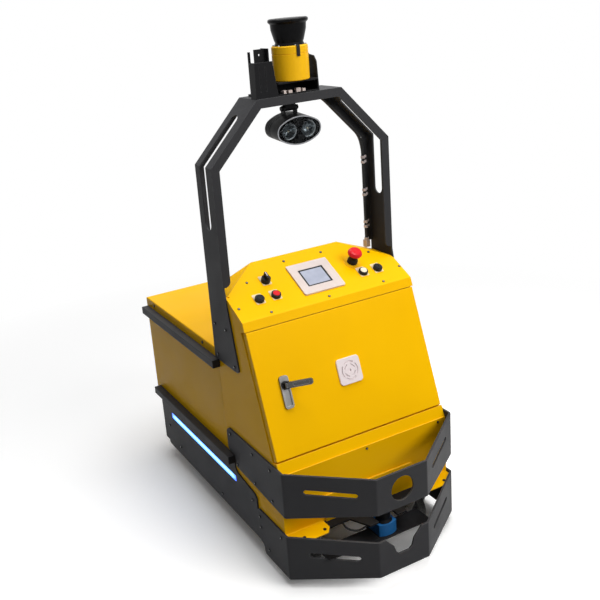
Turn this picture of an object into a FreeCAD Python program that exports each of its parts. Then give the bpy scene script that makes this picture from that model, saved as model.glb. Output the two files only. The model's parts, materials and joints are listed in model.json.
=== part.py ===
import FreeCAD
import Part
import math
import os

V = FreeCAD.Vector

# ---------------------------------------------------------------- driving dimensions (mm)
# The frame: X to the robot's left-hand side as seen from its front, Y to the rear, Z up.
# The front faces -Y, the floor is Z = 0, and the origin is under the middle of the robot.

# body
BODY_WIDTH = 600.0          # over the painted side panels
REAR_Y = 566.5              # back of the rear box
SHEET = 3.0                 # panel sheet
FLOOR_Z = 165.0             # underside of the chassis floor
FLOOR_SHEET = 4.0           # chassis floor plate
SILL_Z = 262.0              # where the console and the rear box stand on the chassis
SEAM = 0.6                  # open joint between panels

# console
FASCIA_Y = -395.5           # front of the lower fascia
DOOR_FOOT_Y = -388.5        # where the door plane starts, at its foot
DOOR_FOOT_Z = 374.0
PANEL_FOOT_Y = -241.5       # where the door plane meets the control panel plane
PANEL_FOOT_Z = 789.0
PANEL_SLOPE = 27.8          # control panel, degrees from level
CONSOLE_BACK_Y = -44.0
HIP_SIDE_Z = 838.0          # top of the side walls, where the hips start
HIP_TOP_X = 157.0           # half width of the flat top edge
STRIP_HEIGHT = 28.0         # the panel's fold over the door
SILL_STRIP = 25.0           # strip under the door
DOOR_DEPTH = 20.0           # folded door, face to back
DOOR_SHEET = 2.0
DOOR_GAP = 2.0              # gap round the door
STOP_CLEAR = 4.0            # door back to the stop frame
STOP_WIDTH = 20.0           # stop frame round the opening
DOOR_SIDE_INSET = 3.0       # door edge to the body side
PIVOT_INSET = 6.0           # pivot axis from the door's right edge and from its face
PIVOT_R = 3.0
PIVOT_REACH = 14.0          # pin length inside the door
FIT = 0.05                  # radial clearance of a shaft in its hole
SLIDE = 0.3                 # clearance between bodies that move past each other

# rear box
LID_Z = 642.0
LID_LIP = 24.0              # the lid's turned-down edge

# rails
RAIL = 27.0                 # square tube
RAIL_WALL = 2.5
RAIL_UPPER_Z = 586.0
RAIL_LOWER_Z = 268.0
RAIL_UPPER_FROM_Y = -53.5
RAIL_LOWER_FROM_Y = -98.0
RAIL_UPPER_TO_Y = 552.0
RAIL_LOWER_TO_Y = 528.0

# skirts
SKIRT_SHEET = 5.0
SKIRT_BOTTOM_Z = 65.0
SKIRT_REAR_Y = 527.0
SKIRT_STEP_Y = 490.0
SKIRT_STEP_Z = 78.0
LIGHT_FROM_Y = -95.5
LIGHT_TO_Y = 436.5
LIGHT_Z = 196.0
LIGHT_HEIGHT = 22.0
LIGHT_DEPTH = 4.0

# bumpers
BUMPER_SHEET = 6.0
BUMPER_BEND_R = 10.0
NOSE_Y = -566.5
NOSE_HALF = 89.0
CORNER_Y = -415.5
UPPER_TOP_Z = 384.0
UPPER_NOSE_TOP_Z = 364.0
UPPER_BOTTOM_Z = 240.0
UPPER_NOSE_BOTTOM_Z = 248.0
UPPER_WING_BOTTOM_Z = 262.0
UPPER_WING_Y = -63.5
UPPER_CORNER_R = 22.0
LOWER_TOP_Z = 178.0
LOWER_NOSE_TOP_Z = 156.0
LOWER_BOTTOM_Z = 30.0
LOWER_NOSE_BOTTOM_Z = 39.0
LOWER_WING_Y = -235.5
SLOT_HEIGHT = 16.0
SLOT_FROM = 58.0            # along the angled face from the corner
SLOT_TO = 212.0
NOSE_HOLE_R = 39.0
NOSE_HOLE_Z = 307.0

# mast arch
ARCH_SHEET = 5.0
ARCH_FRONT_Y = -145.5
ARCH_DEPTH = 110.0
ARCH_FLANGE = 26.0
ARCH_BEND_Z = 1224.0
ARCH_TOP_Z = 1395.0
ARCH_TOP_HALF = 142.0
ARCH_FLANGE_END_Z = 870.0
ARCH_FOOT_Z = 613.5
ARCH_FOOT_FRONT_Y = -196.0
ARCH_SLOT = 40.0
ARCH_SLOT_Y = -87.0
ARCH_SLOT_FROM_Z = 1035.0

# navigation scanner on the beam
NAV_Y = -102.5
NAV_R = 53.0
NAV_SHELF_RISE = 32.0       # beam to the shelf's underside
NAV_SHELF = 5.0             # shelf plate
NAV_DRUM = 98.0             # lower housing, seat to top
NAV_WINDOW = 75.0           # hood, neck to rim
NAV_SIDE_GAP = 12.0         # drum to the cradle's cheeks
NAV_CHEEK = 4.0
NAV_FLANGE_X = 105.0        # outer edge of the short cheek's flange
NAV_POST_X = 107.0
WINDOW_NECK_R = 40.5
WINDOW_RIM_R = 58.0
WINDOW_WALL = 3.0
MIRROR_R = 26.0

# twin spot light under the beam
LAMP_WIDTH = 149.0
LAMP_HEIGHT = 86.0
LAMP_Z = 1290.0             # middle of the housing
LAMP_Y = -90.0
LAMP_DEPTH = 76.0
LAMP_PITCH = 5.0            # degrees down from level
LAMP_END_R = 30.0           # rounding of the oval's ends
LAMP_RIM = 3.5
LAMP_GLASS = 3.0
LENS_PITCH = 66.0
LENS_R = 24.0
LAMP_PIN_R = 4.0
LAMP_PIN_BACK = 20.0        # pin behind the housing's middle
LAMP_PIN_RISE = 14.0        # pin over the housing's top
LAMP_TONGUE = 34.0          # width of the bracket's tongue
LAMP_EAR = 6.0              # thickness of the housing's ears
LAMP_EAR_R = 9.0

# front scanner in the gap between the bumpers
SCANNER_WIDTH = 62.0
SCANNER_FRONT_Y = -495.0
SCANNER_BACK_Y = -425.0
SCANNER_Z = 108.0
SCANNER_SPLIT_Z = 146.0
SCANNER_SHOULDER_Z = 200.0
SCANNER_NECK = 37.0         # front to the shoulder
SCANNER_TOP_Z = 205.0

# casters
CASTER_X = 200.0
CASTER_Y = -380.0
CASTER_WHEEL_R = 50.0
CASTER_WHEEL_WIDTH = 32.0
CASTER_TRAIL = 28.0
CASTER_HEAD_R = 42.0
CASTER_AXLE_R = 5.0
KINGPIN_R = 6.0
DECK_SHEET = 6.0
DECK_UPSTAND_Z = 252.0      # top of the deck's turned-up edge
DECK_UPSTAND_HALF = 160.0

# drive
DRIVE_WHEEL_R = 100.0
DRIVE_WHEEL_WIDTH = 45.0
DRIVE_RIM_R = 72.0
DRIVE_X = 222.0
DRIVE_Y = 300.0
DRIVE_SHAFT_R = 12.0

# operating elements, diameters after the 22 mm mounting system
SWITCH_R = 11.0
BEZEL_R = 14.75
BEZEL_HEIGHT = 11.0
CAP_R = 10.6
BUTTON_TRAVEL = 4.0
LEGEND = 40.0
LEGEND_SHEET = 0.8
ESTOP_COLLAR_R = 16.5
ESTOP_COLLAR_HEIGHT = 26.0
ESTOP_CAP_R = 23.0
ESTOP_TOP = 50.0
ESTOP_STEM_R = 8.0
HMI_WIDTH = 144.0
HMI_LENGTH = 128.0
HMI_FOOT = 37.0             # panel foot edge to the frame's lower edge
HMI_U = 5.0                 # frame's middle, across
SCREEN_U = 4.0
SCREEN_FOOT = 27.4          # frame's lower edge to the screen
HMI_BEHIND = 38.0           # case behind the panel
HMI_RISE = 6.0
SCREEN_WIDTH = 88.0
SCREEN_LENGTH = 72.0

# door furniture
HANDLE_U = -217.0
HANDLE_FROM = 167.0
HANDLE_TO = 264.0
HANDLE_WIDTH = 29.0
HANDLE_RISE = 7.0
SPINDLE_V = 236.0
LEVER_AXIS_RISE = 17.0
CAM_REACH = 66.0               # spindle axis to the cam's tip
CAM_CLEAR = 3.0                # cam to the back of the stop frame
CAM_SHEET = 4.0
LEVER_LENGTH = 76.0
LEVER_WIDTH = 18.0
LEVER_TILT = 45.0
SOUNDER = 80.0
SOUNDER_U = 4.0
SOUNDER_V = 220.0
SOUNDER_RISE = 5.0

# screws
SCREW_HEAD_R = 5.0
SCREW_HEAD = 2.5

# cables
CABLE_R = 5.0
SCANNER_CABLE_R = 3.0

# ---------------------------------------------------------------- derived values
HALF = BODY_WIDTH / 2
DOOR_SLOPE = math.degrees(math.atan2(PANEL_FOOT_Z - DOOR_FOOT_Z, PANEL_FOOT_Y - DOOR_FOOT_Y))
DOOR_PLANE_LENGTH = math.hypot(PANEL_FOOT_Z - DOOR_FOOT_Z, PANEL_FOOT_Y - DOOR_FOOT_Y)
PANEL_LENGTH = (CONSOLE_BACK_Y - PANEL_FOOT_Y) / math.cos(math.radians(PANEL_SLOPE))
CONSOLE_TOP_Z = PANEL_FOOT_Z + PANEL_LENGTH * math.sin(math.radians(PANEL_SLOPE))
DOOR_HALF = HALF - DOOR_SIDE_INSET
DOOR_V0 = SILL_STRIP + 2 * DOOR_GAP
DOOR_V1 = DOOR_PLANE_LENGTH - STRIP_HEIGHT - DOOR_GAP
STOP_DEPTH = DOOR_DEPTH + STOP_CLEAR
ARCH_BACK_Y = ARCH_FRONT_Y + ARCH_DEPTH
ARCH_HALF = HALF + ARCH_SHEET
ARCH_UNDER_Z = ARCH_TOP_Z - ARCH_SHEET
DECK_Z = FLOOR_Z - DECK_SHEET
NAV_SHELF_Z = ARCH_TOP_Z + NAV_SHELF_RISE
NAV_SEAT_Z = NAV_SHELF_Z + NAV_SHELF
NAV_TOP_Z = NAV_SEAT_Z + NAV_DRUM
WINDOW_TOP_Z = NAV_TOP_Z + NAV_WINDOW
LAMP_TOP_Z = LAMP_Z + LAMP_HEIGHT / 2


# ---------------------------------------------------------------- tools
def box(x0, x1, y0, y1, z0, z1):
    return Part.makeBox(x1 - x0, y1 - y0, z1 - z0, V(x0, y0, z0))


def cylinder(base, direction, radius, length):
    return Part.makeCylinder(radius, length, base, direction)


def face_of(points):
    wire = Part.makePolygon(list(points) + [points[0]])
    return Part.Face(wire)


def prism_x(outline, x0, x1):
    """A prism along X from (y, z) points."""
    face = face_of([V(x0, y, z) for y, z in outline])
    return face.extrude(V(x1 - x0, 0, 0))


def prism_y(outline, y0, y1):
    """A prism along Y from (x, z) points."""
    face = face_of([V(x, y0, z) for x, z in outline])
    return face.extrude(V(0, y1 - y0, 0))


def prism_z(outline, z0, z1):
    """A prism along Z from (x, y) points."""
    face = face_of([V(x, y, z0) for x, y in outline])
    return face.extrude(V(0, 0, z1 - z0))


def rounded_plate(width, length, thickness, radius):
    """A plate centred on the origin, lying on Z = 0, with round corners."""
    plate = box(-width / 2, width / 2, -length / 2, length / 2, 0, thickness)
    edges = [e for e in plate.Edges if abs(e.tangentAt(e.FirstParameter).z) > 0.99]
    return plate.makeFillet(radius, edges)


def slot_plate(length, width, thickness):
    """A round-ended bar centred on the origin along X, lying on Z = 0."""
    return rounded_plate(length, width, thickness, width / 2 - 0.01)


def moved(shape, x=0.0, y=0.0, z=0.0):
    copy = shape.copy()
    copy.translate(V(x, y, z))
    return copy


def mirrored(shape):
    """The same piece on the other side of the robot."""
    return shape.mirror(V(0, 0, 0), V(1, 0, 0))


def fuse(shapes):
    whole = shapes[0]
    if len(shapes) > 1:
        whole = shapes[0].multiFuse(shapes[1:])
    return whole.removeSplitter()


def cut(shape, tools):
    return shape.cut(Part.makeCompound(tools))


def place(shape, origin, slope):
    """A piece made flat on the origin, laid on a plane that slopes up to the rear."""
    copy = shape.copy()
    copy.Placement = FreeCAD.Placement(origin, FreeCAD.Rotation(V(1, 0, 0), slope)).multiply(copy.Placement)
    return copy


def at_door(shape):
    """From (across, up the slope, outward) to the door plane."""
    return place(shape, V(0, DOOR_FOOT_Y, DOOR_FOOT_Z), DOOR_SLOPE)


def at_panel(shape):
    """From (across, up the slope, outward) to the control panel plane."""
    return place(shape, V(0, PANEL_FOOT_Y, PANEL_FOOT_Z), PANEL_SLOPE)


def save(name, shape):
    solids = shape.Solids
    whole = solids[0] if len(solids) == 1 else Part.makeCompound(solids)
    whole.exportStep(f"parts/{name}.step")


def screw(point, direction, radius=SCREW_HEAD_R, height=SCREW_HEAD):
    """A round-headed screw, its head standing on the given point."""
    return cylinder(point, direction, radius, height)


# ---------------------------------------------------------------- chassis
def wheel_well(inset):
    """The space over a drive wheel, with its walls drawn in by the inset."""
    half_width = DRIVE_WHEEL_WIDTH / 2 + 12 - inset
    half_length = DRIVE_WHEEL_R + 12 - inset
    return box(DRIVE_X - half_width, DRIVE_X + half_width, DRIVE_Y - half_length, DRIVE_Y + half_length,
               FLOOR_Z - 1, 2 * DRIVE_WHEEL_R + 14 - inset)


def chassis_tray():
    """A folded tray with wheel houses, its rear wall under the skirts' rear ends."""
    front = FASCIA_Y + SHEET
    rear = SKIRT_REAR_Y
    outer = box(-HALF, HALF, front, rear, FLOOR_Z, SILL_Z)
    inner = box(-HALF + SHEET, HALF - SHEET, front + SHEET, rear - SHEET, FLOOR_Z + FLOOR_SHEET, SILL_Z + 1)
    opening = box(-125, 125, front - 1, front + SHEET + 1, FLOOR_Z + FLOOR_SHEET, SILL_Z - 20)
    shell = cut(outer, [inner, opening])
    for well in (wheel_well(0), mirrored(wheel_well(0))):
        shell = shell.fuse(well.common(box(-HALF, HALF, front, rear, FLOOR_Z, SILL_Z)))
    wells = wheel_well(SHEET).fuse(mirrored(wheel_well(SHEET)))
    ledge = box(-HALF + SHEET, HALF - SHEET, front + SHEET, rear - SHEET, SILL_Z - SHEET, SILL_Z)
    hollow = box(-HALF + 22, HALF - 22, front + 22, rear - 22, SILL_Z - SHEET - 1, SILL_Z + 1)
    tail = box(-HALF, HALF, rear - SHEET, REAR_Y, SILL_Z - SHEET, SILL_Z)
    return fuse([cut(shell, [wells]), ledge.cut(hollow), tail])


def front_fascia():
    """A bent sheet: an upright plate with an opening, and two feet turned forward."""
    top = DOOR_FOOT_Z - 10
    plate = box(-HALF, HALF, FASCIA_Y, FASCIA_Y + SHEET, FLOOR_Z, top)
    opening = prism_y([(-125, FLOOR_Z - 1), (125, FLOOR_Z - 1), (125, 225), (110, 240), (-110, 240), (-125, 225)],
                      FASCIA_Y - 1, FASCIA_Y + SHEET + 1)
    tip_y = FASCIA_Y - 58
    beside = (HALF + BUMPER_SHEET - NOSE_HALF) / (CORNER_Y - NOSE_Y)
    corner_in = CORNER_Y + BUMPER_SHEET / 2
    foot = prism_z([(169, FASCIA_Y + 1), (HALF - 1, FASCIA_Y + 1), (HALF - 1, corner_in),
                    (HALF - 1 - (corner_in - tip_y) * beside, tip_y), (186, tip_y), (169, FASCIA_Y - 36)],
                   FLOOR_Z, FLOOR_Z + SHEET)
    fascia = fuse([plate.cut(opening), foot, mirrored(foot)])
    bends = [e for e in fascia.Edges if abs(e.Length - (HALF - 169)) < 3
             and abs(e.BoundBox.YMax - FASCIA_Y) < 0.1 and abs(e.BoundBox.ZMax - FLOOR_Z - SHEET) < 0.1]
    return fascia.makeFillet(4, bends)


def front_deck():
    """The plate under the chassis floor that carries the casters, with two prongs for the scanner."""
    half = SCANNER_WIDTH / 2 + 4
    back = FASCIA_Y + 80
    shoulder = FASCIA_Y - 34
    tip = SCANNER_FRONT_Y + 4
    outline = [(-262, back), (262, back), (262, shoulder), (96, shoulder), (66, tip), (half, tip),
               (half, SCANNER_BACK_Y), (-half, SCANNER_BACK_Y), (-half, tip), (-66, tip),
               (-96, shoulder), (-262, shoulder)]
    upstand = box(-DECK_UPSTAND_HALF, DECK_UPSTAND_HALF, FASCIA_Y - 6, FASCIA_Y - 0.3, FLOOR_Z, DECK_UPSTAND_Z)
    return fuse([prism_z(outline, DECK_Z, FLOOR_Z), upstand])


# ---------------------------------------------------------------- console
def console_form(inset):
    """The console's outer form, drawn in by the inset."""
    front = FASCIA_Y + SHEET
    lean = (PANEL_FOOT_Y - DOOR_FOOT_Y) / (PANEL_FOOT_Z - DOOR_FOOT_Z)
    knee = DOOR_FOOT_Z - (DOOR_FOOT_Y - front) / lean
    side = [(front, SILL_Z), (front, knee), (PANEL_FOOT_Y, PANEL_FOOT_Z), (CONSOLE_BACK_Y, CONSOLE_TOP_Z),
            (CONSOLE_BACK_Y, SILL_Z)]
    front_view = [(-HALF, SILL_Z), (-HALF, HIP_SIDE_Z), (-HIP_TOP_X, CONSOLE_TOP_Z), (HIP_TOP_X, CONSOLE_TOP_Z),
                  (HALF, HIP_SIDE_Z), (HALF, SILL_Z)]
    side_face = face_of([V(-HALF - 1, y, z) for y, z in side])
    front_face = face_of([V(x, front - 1, z) for x, z in front_view])
    if inset:
        side_face = side_face.makeOffset2D(-inset)
        front_face = front_face.makeOffset2D(-inset)
    across = side_face.extrude(V(BODY_WIDTH + 2, 0, 0))
    along = front_face.extrude(V(0, CONSOLE_BACK_Y - front + 2, 0))
    return across.common(along)


def console_shell():
    outer = console_form(0)
    inner = console_form(SHEET)
    shell = outer.cut(inner)
    # the panel plate and its fold lie on the console, so the console is lower there by one sheet
    over_panel = at_panel(box(-HALF - 5, HALF + 5, -60, PANEL_LENGTH + 40, -SHEET, 40))
    over_strip = at_door(box(-HALF - 5, HALF + 5, DOOR_PLANE_LENGTH - STRIP_HEIGHT, DOOR_PLANE_LENGTH + 40,
                             -SHEET, 60))
    lowered = console_form(0).common(over_panel.fuse(over_strip))
    shell = shell.cut(lowered)
    ledge = at_panel(box(-HALF + 1, HALF - 1, 2, PANEL_LENGTH - 2, -2 * SHEET, -SHEET))
    ledge_hole = at_panel(box(-HALF + 24, HALF - 24, 30, PANEL_LENGTH - 24, -3 * SHEET, 0))
    ledge = ledge.common(console_form(1.0)).cut(ledge_hole)
    strip_back = at_door(box(-HALF + 1, HALF - 1, DOOR_V1 + DOOR_GAP, DOOR_PLANE_LENGTH - 2, -2 * SHEET, -SHEET))
    # door recess
    recess = at_door(box(-HALF - 5, HALF + 5, SILL_STRIP, DOOR_V1 + DOOR_GAP, -STOP_DEPTH, 60))
    shell = shell.cut(recess)
    jamb_low = at_door(box(-HALF + 1, HALF - 1, SILL_STRIP - SHEET, SILL_STRIP, -STOP_DEPTH, -1))
    jamb_high = at_door(box(-HALF + 1, HALF - 1, DOOR_V1 + DOOR_GAP, DOOR_V1 + DOOR_GAP + SHEET,
                            -STOP_DEPTH - SHEET, -SHEET))
    stop = at_door(box(-HALF + 1, HALF - 1, SILL_STRIP - SHEET, DOOR_V1 + DOOR_GAP + SHEET,
                       -STOP_DEPTH - SHEET, -STOP_DEPTH))
    stop_hole = at_door(box(-HALF + SHEET + STOP_WIDTH, HALF - SHEET - STOP_WIDTH, DOOR_V0 + STOP_WIDTH,
                            DOOR_V1 - STOP_WIDTH, -STOP_DEPTH - 10, 0))
    pins = []
    for v, length in ((SILL_STRIP - SHEET, PIVOT_REACH + 2 * DOOR_GAP + SHEET),
                      (DOOR_V1 - PIVOT_REACH, PIVOT_REACH + DOOR_GAP + SHEET)):
        pins.append(at_door(cylinder(V(DOOR_HALF - PIVOT_INSET, v, -PIVOT_INSET), V(0, 1, 0), PIVOT_R, length)))
    body = fuse([shell, ledge, strip_back])
    frame = fuse([jamb_low, jamb_high, stop.cut(stop_hole)] + pins).cut(body)
    return Part.makeCompound([body, frame])


def switch_places():
    """Where the mounting holes are on the control panel: (across, up the slope)."""
    return {"selector": (-HALF + 147, 133), "black": (-HALF + 92, 68), "red": (-HALF + 148, 68),
            "white": (HALF - 138, 68), "key": (HALF - 83, 68), "estop": (HALF - 146, 120)}


def control_panel():
    """A bent sheet: the sloping panel and the fold that comes down over the door."""
    up = V(0, math.cos(math.radians(PANEL_SLOPE)), math.sin(math.radians(PANEL_SLOPE)))
    down = V(0, -math.cos(math.radians(DOOR_SLOPE)), -math.sin(math.radians(DOOR_SLOPE)))
    out_panel = V(0, -up.z, up.y)
    out_strip = V(0, down.z, -down.y)
    foot = V(-HALF, PANEL_FOOT_Y, PANEL_FOOT_Z)
    inner_foot = foot - (out_panel + out_strip) * (SHEET / (1 + out_panel.dot(out_strip)))
    top = foot + up * PANEL_LENGTH
    tail = foot + down * STRIP_HEIGHT
    section = [tail, foot, top, top - out_panel * SHEET, inner_foot, tail - out_strip * SHEET]
    panel = face_of(section).extrude(V(BODY_WIDTH, 0, 0))
    outline = prism_y([(-HALF, 0), (-HALF, HIP_SIDE_Z), (-HIP_TOP_X, CONSOLE_TOP_Z), (HIP_TOP_X, CONSOLE_TOP_Z),
                       (HALF, HIP_SIDE_Z), (HALF, 0)], PANEL_FOOT_Y - 100, CONSOLE_BACK_Y)
    fold = [e for e in panel.Edges if e.Length > BODY_WIDTH - 1 and abs(e.BoundBox.YMax - PANEL_FOOT_Y) < 0.1
            and abs(e.BoundBox.ZMax - PANEL_FOOT_Z) < 0.1]
    panel = panel.makeFillet(4, fold).common(outline)
    holes = []
    for across, up in switch_places().values():
        holes.append(at_panel(cylinder(V(across, up, -SHEET - 5), V(0, 0, 1), SWITCH_R + FIT, 20)))
    holes.append(at_panel(box(HMI_U - HMI_WIDTH / 2 + 4, HMI_U + HMI_WIDTH / 2 - 4, HMI_FOOT + 4,
                              HMI_FOOT + HMI_LENGTH - 4, -SHEET - 5, 20)))
    notch_v = (HIP_SIDE_Z - PANEL_FOOT_Z) / math.sin(math.radians(PANEL_SLOPE))
    for side in (-1, 1):
        notch = face_of([V(side * (HALF + 1), notch_v - 6, -10), V(side * (HALF - 13), notch_v + 2, -10),
                         V(side * (HALF + 1), notch_v + 14, -10)])
        holes.append(at_panel(notch.extrude(V(0, 0, 20))))
    return cut(panel, holes)


# ---------------------------------------------------------------- rear box
def rear_box():
    front = CONSOLE_BACK_Y + SEAM
    top = LID_Z - SHEET - SEAM
    outer = box(-HALF, HALF, front, REAR_Y, SILL_Z, top)
    inner = box(-HALF + SHEET, HALF - SHEET, front + SHEET, REAR_Y - SHEET, SILL_Z - 1, top + 1)
    step = box(-HALF - 1, HALF + 1, front - 1, REAR_Y + 1, LID_Z - LID_LIP - SEAM, top + 1)
    core = box(-HALF + SHEET + SEAM, HALF - SHEET - SEAM, front, REAR_Y - SHEET - SEAM, LID_Z - LID_LIP - 20, top + 1)
    walls = outer.cut(inner).cut(step.cut(core))
    rim_outer = box(-HALF + SHEET + SEAM, HALF - SHEET - SEAM, front, REAR_Y - SHEET - SEAM,
                    LID_Z - LID_LIP - SEAM - SHEET, top)
    rim_inner = box(-HALF + 2 * SHEET + SEAM, HALF - 2 * SHEET - SEAM, front + SHEET, REAR_Y - 2 * SHEET - SEAM,
                    LID_Z - LID_LIP - 20, top + 1)
    shelf = box(-HALF + 1, HALF - 1, front, REAR_Y - 1, LID_Z - LID_LIP - SEAM - SHEET, LID_Z - LID_LIP - SEAM)
    ring = rim_outer.cut(rim_inner)
    ledge = shelf.cut(rim_inner)
    return fuse([walls, ring, ledge])


def rear_lid():
    """A cover with turned-down edges at both sides and at the rear."""
    front = CONSOLE_BACK_Y + SEAM
    outer = box(-HALF, HALF, front, REAR_Y, LID_Z - LID_LIP, LID_Z)
    edges = [e for e in outer.Edges if e.BoundBox.ZMin > LID_Z - 0.1 and e.BoundBox.YMax > front + 1]
    outer = outer.makeFillet(4, edges)
    inner = box(-HALF + SHEET, HALF - SHEET, front - 1, REAR_Y - SHEET, LID_Z - LID_LIP - 1, LID_Z - SHEET)
    return outer.cut(inner)


# ---------------------------------------------------------------- rails, skirts, lights
def rail(from_y, to_y, bottom_z):
    tube = box(HALF, HALF + RAIL, from_y, to_y, bottom_z, bottom_z + RAIL)
    edges = [e for e in tube.Edges if abs(e.tangentAt(e.FirstParameter).y) > 0.99]
    tube = tube.makeFillet(3, edges)
    wall = RAIL_WALL
    bore = box(HALF + wall, HALF + RAIL - wall, from_y - 1, to_y + 1, bottom_z + wall, bottom_z + RAIL - wall)
    return tube.cut(bore)


def rails_upper():
    one = rail(RAIL_UPPER_FROM_Y, RAIL_UPPER_TO_Y, RAIL_UPPER_Z)
    return Part.makeCompound([one, mirrored(one)])


def rails_lower():
    one = rail(RAIL_LOWER_FROM_Y, RAIL_LOWER_TO_Y, RAIL_LOWER_Z)
    return Part.makeCompound([one, mirrored(one)])


def light_pocket(clearance):
    return box(HALF - 1, HALF + SKIRT_SHEET + 1, LIGHT_FROM_Y - clearance, LIGHT_TO_Y + clearance,
               LIGHT_Z - clearance, LIGHT_Z + LIGHT_HEIGHT + clearance)


def skirt_left():
    """The side plate that hides the drive wheel, with a window for the light strip."""
    top = RAIL_LOWER_Z - SEAM
    front = LOWER_WING_Y + SEAM
    outline = [(SKIRT_REAR_Y, top),
               (SKIRT_REAR_Y, SKIRT_STEP_Z), (SKIRT_STEP_Y + 8, SKIRT_STEP_Z), (SKIRT_STEP_Y, SKIRT_BOTTOM_Z),
               (front, SKIRT_BOTTOM_Z), (front, LOWER_TOP_Z + 28), (front + 12, LOWER_TOP_Z + 40),
               (RAIL_LOWER_FROM_Y - 12, top - 32), (RAIL_LOWER_FROM_Y, top - 20), (RAIL_LOWER_FROM_Y, top)]
    plate = prism_x(outline, HALF, HALF + SKIRT_SHEET)
    return plate.cut(light_pocket(0))


def light_strips():
    bar = box(HALF, HALF + LIGHT_DEPTH, LIGHT_FROM_Y, LIGHT_TO_Y, LIGHT_Z, LIGHT_Z + LIGHT_HEIGHT)
    return Part.makeCompound([bar, mirrored(bar)])


# ---------------------------------------------------------------- bumpers
def bent_plate(z0, z1, wing_y):
    """The bumper's plate in plan: two wings, two angled faces and the nose."""
    outer = HALF + BUMPER_SHEET
    inner = HALF
    lean = math.atan2(CORNER_Y - NOSE_Y, outer - NOSE_HALF)
    corner_in = CORNER_Y + BUMPER_SHEET * math.tan((math.pi / 2 - lean) / 2)
    nose_in = NOSE_HALF - BUMPER_SHEET * math.tan(lean / 2)
    right = [(outer, wing_y), (outer, CORNER_Y), (NOSE_HALF, NOSE_Y)]
    left = [(-x, y) for x, y in reversed(right)]
    inner_left = [(-inner, wing_y), (-inner, corner_in), (-nose_in, NOSE_Y + BUMPER_SHEET)]
    inner_right = [(-x, y) for x, y in reversed(inner_left)]
    plate = prism_z(right + left + inner_left + inner_right, z0, z1)
    uprights = [e for e in plate.Edges if abs(e.tangentAt(e.FirstParameter).z) > 0.99]
    bends = [e for e in uprights if e.BoundBox.YMax < wing_y - 1]
    outside = [e for e in bends if (abs(abs(e.BoundBox.XMax) - outer) < 0.1 or abs(e.BoundBox.YMin - NOSE_Y) < 0.1)]
    return plate.makeFillet(BUMPER_BEND_R, outside)


def angled_slot(from_s, to_s, z_from, z_to, height):
    """A round-ended slot through the right-hand angled face."""
    outer = HALF + BUMPER_SHEET
    lean = math.degrees(math.atan2(CORNER_Y - NOSE_Y, outer - NOSE_HALF))
    length = to_s - from_s
    bar = slot_plate(length, height, 60)
    bar.translate(V((from_s + to_s) / 2, (z_from + z_to) / 2, -30))
    tilt = math.degrees(math.atan2(z_to - z_from, length))
    bar.rotate(V((from_s + to_s) / 2, (z_from + z_to) / 2, 0), V(0, 0, 1), tilt)
    bar.rotate(V(0, 0, 0), V(1, 0, 0), 90)
    bar.rotate(V(0, 0, 0), V(0, 0, 1), 180 + lean)
    bar.translate(V(outer, CORNER_Y, 0))
    return bar


def bumper_upper():
    plate = bent_plate(UPPER_BOTTOM_Z - 20, UPPER_TOP_Z + 20, UPPER_WING_Y)
    r = UPPER_CORNER_R
    lines = [(NOSE_Y - 1, UPPER_NOSE_BOTTOM_Z), (NOSE_Y - 1, UPPER_NOSE_TOP_Z), (CORNER_Y, UPPER_TOP_Z),
             (UPPER_WING_Y - r, UPPER_TOP_Z)]
    for step in range(1, 7):
        angle = math.radians(90 - 15 * step)
        lines.append((UPPER_WING_Y - r + r * math.cos(angle), UPPER_TOP_Z - r + r * math.sin(angle)))
    rail_top = RAIL_LOWER_Z + RAIL
    lines += [(UPPER_WING_Y, rail_top + 14), (UPPER_WING_Y - 8, rail_top + 6),
              (RAIL_LOWER_FROM_Y - 8, rail_top + 6), (RAIL_LOWER_FROM_Y - 16, UPPER_WING_BOTTOM_Z),
              (CORNER_Y, UPPER_BOTTOM_Z)]
    side = prism_x(lines, -HALF - 20, HALF + 20)
    slot = angled_slot(SLOT_FROM, SLOT_TO, 327, 312, SLOT_HEIGHT)
    hole = cylinder(V(0, NOSE_Y - 10, NOSE_HOLE_Z), V(0, 1, 0), NOSE_HOLE_R, 40)
    return cut(plate.common(side), [slot, mirrored(slot), hole])


def bumper_lower():
    plate = bent_plate(LOWER_BOTTOM_Z - 20, LOWER_TOP_Z + 20, LOWER_WING_Y)
    lines = [(NOSE_Y - 1, LOWER_NOSE_BOTTOM_Z), (NOSE_Y - 1, LOWER_NOSE_TOP_Z), (CORNER_Y, LOWER_TOP_Z - 2),
             (LOWER_WING_Y - 10, LOWER_TOP_Z), (LOWER_WING_Y - 3, LOWER_TOP_Z - 3), (LOWER_WING_Y, LOWER_TOP_Z - 10),
             (LOWER_WING_Y, 76), (LOWER_WING_Y - 6, 64), (LOWER_WING_Y - 20, 60), (LOWER_WING_Y - 26, 54),
             (LOWER_WING_Y - 28, 40), (LOWER_WING_Y - 34, LOWER_BOTTOM_Z), (CORNER_Y, LOWER_BOTTOM_Z)]
    side = prism_x(lines, -HALF - 20, HALF + 20)
    slot = angled_slot(SLOT_FROM + 4, SLOT_TO, 116, 103, SLOT_HEIGHT)
    notch = prism_y([(-66, 210), (-66, 158), (-36, 126), (-28, 102), (-18, 94), (18, 94), (28, 102), (36, 126),
                     (66, 158), (66, 210)], NOSE_Y - 10, NOSE_Y + 40)
    return cut(plate.common(side), [slot, mirrored(slot), notch])


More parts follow.
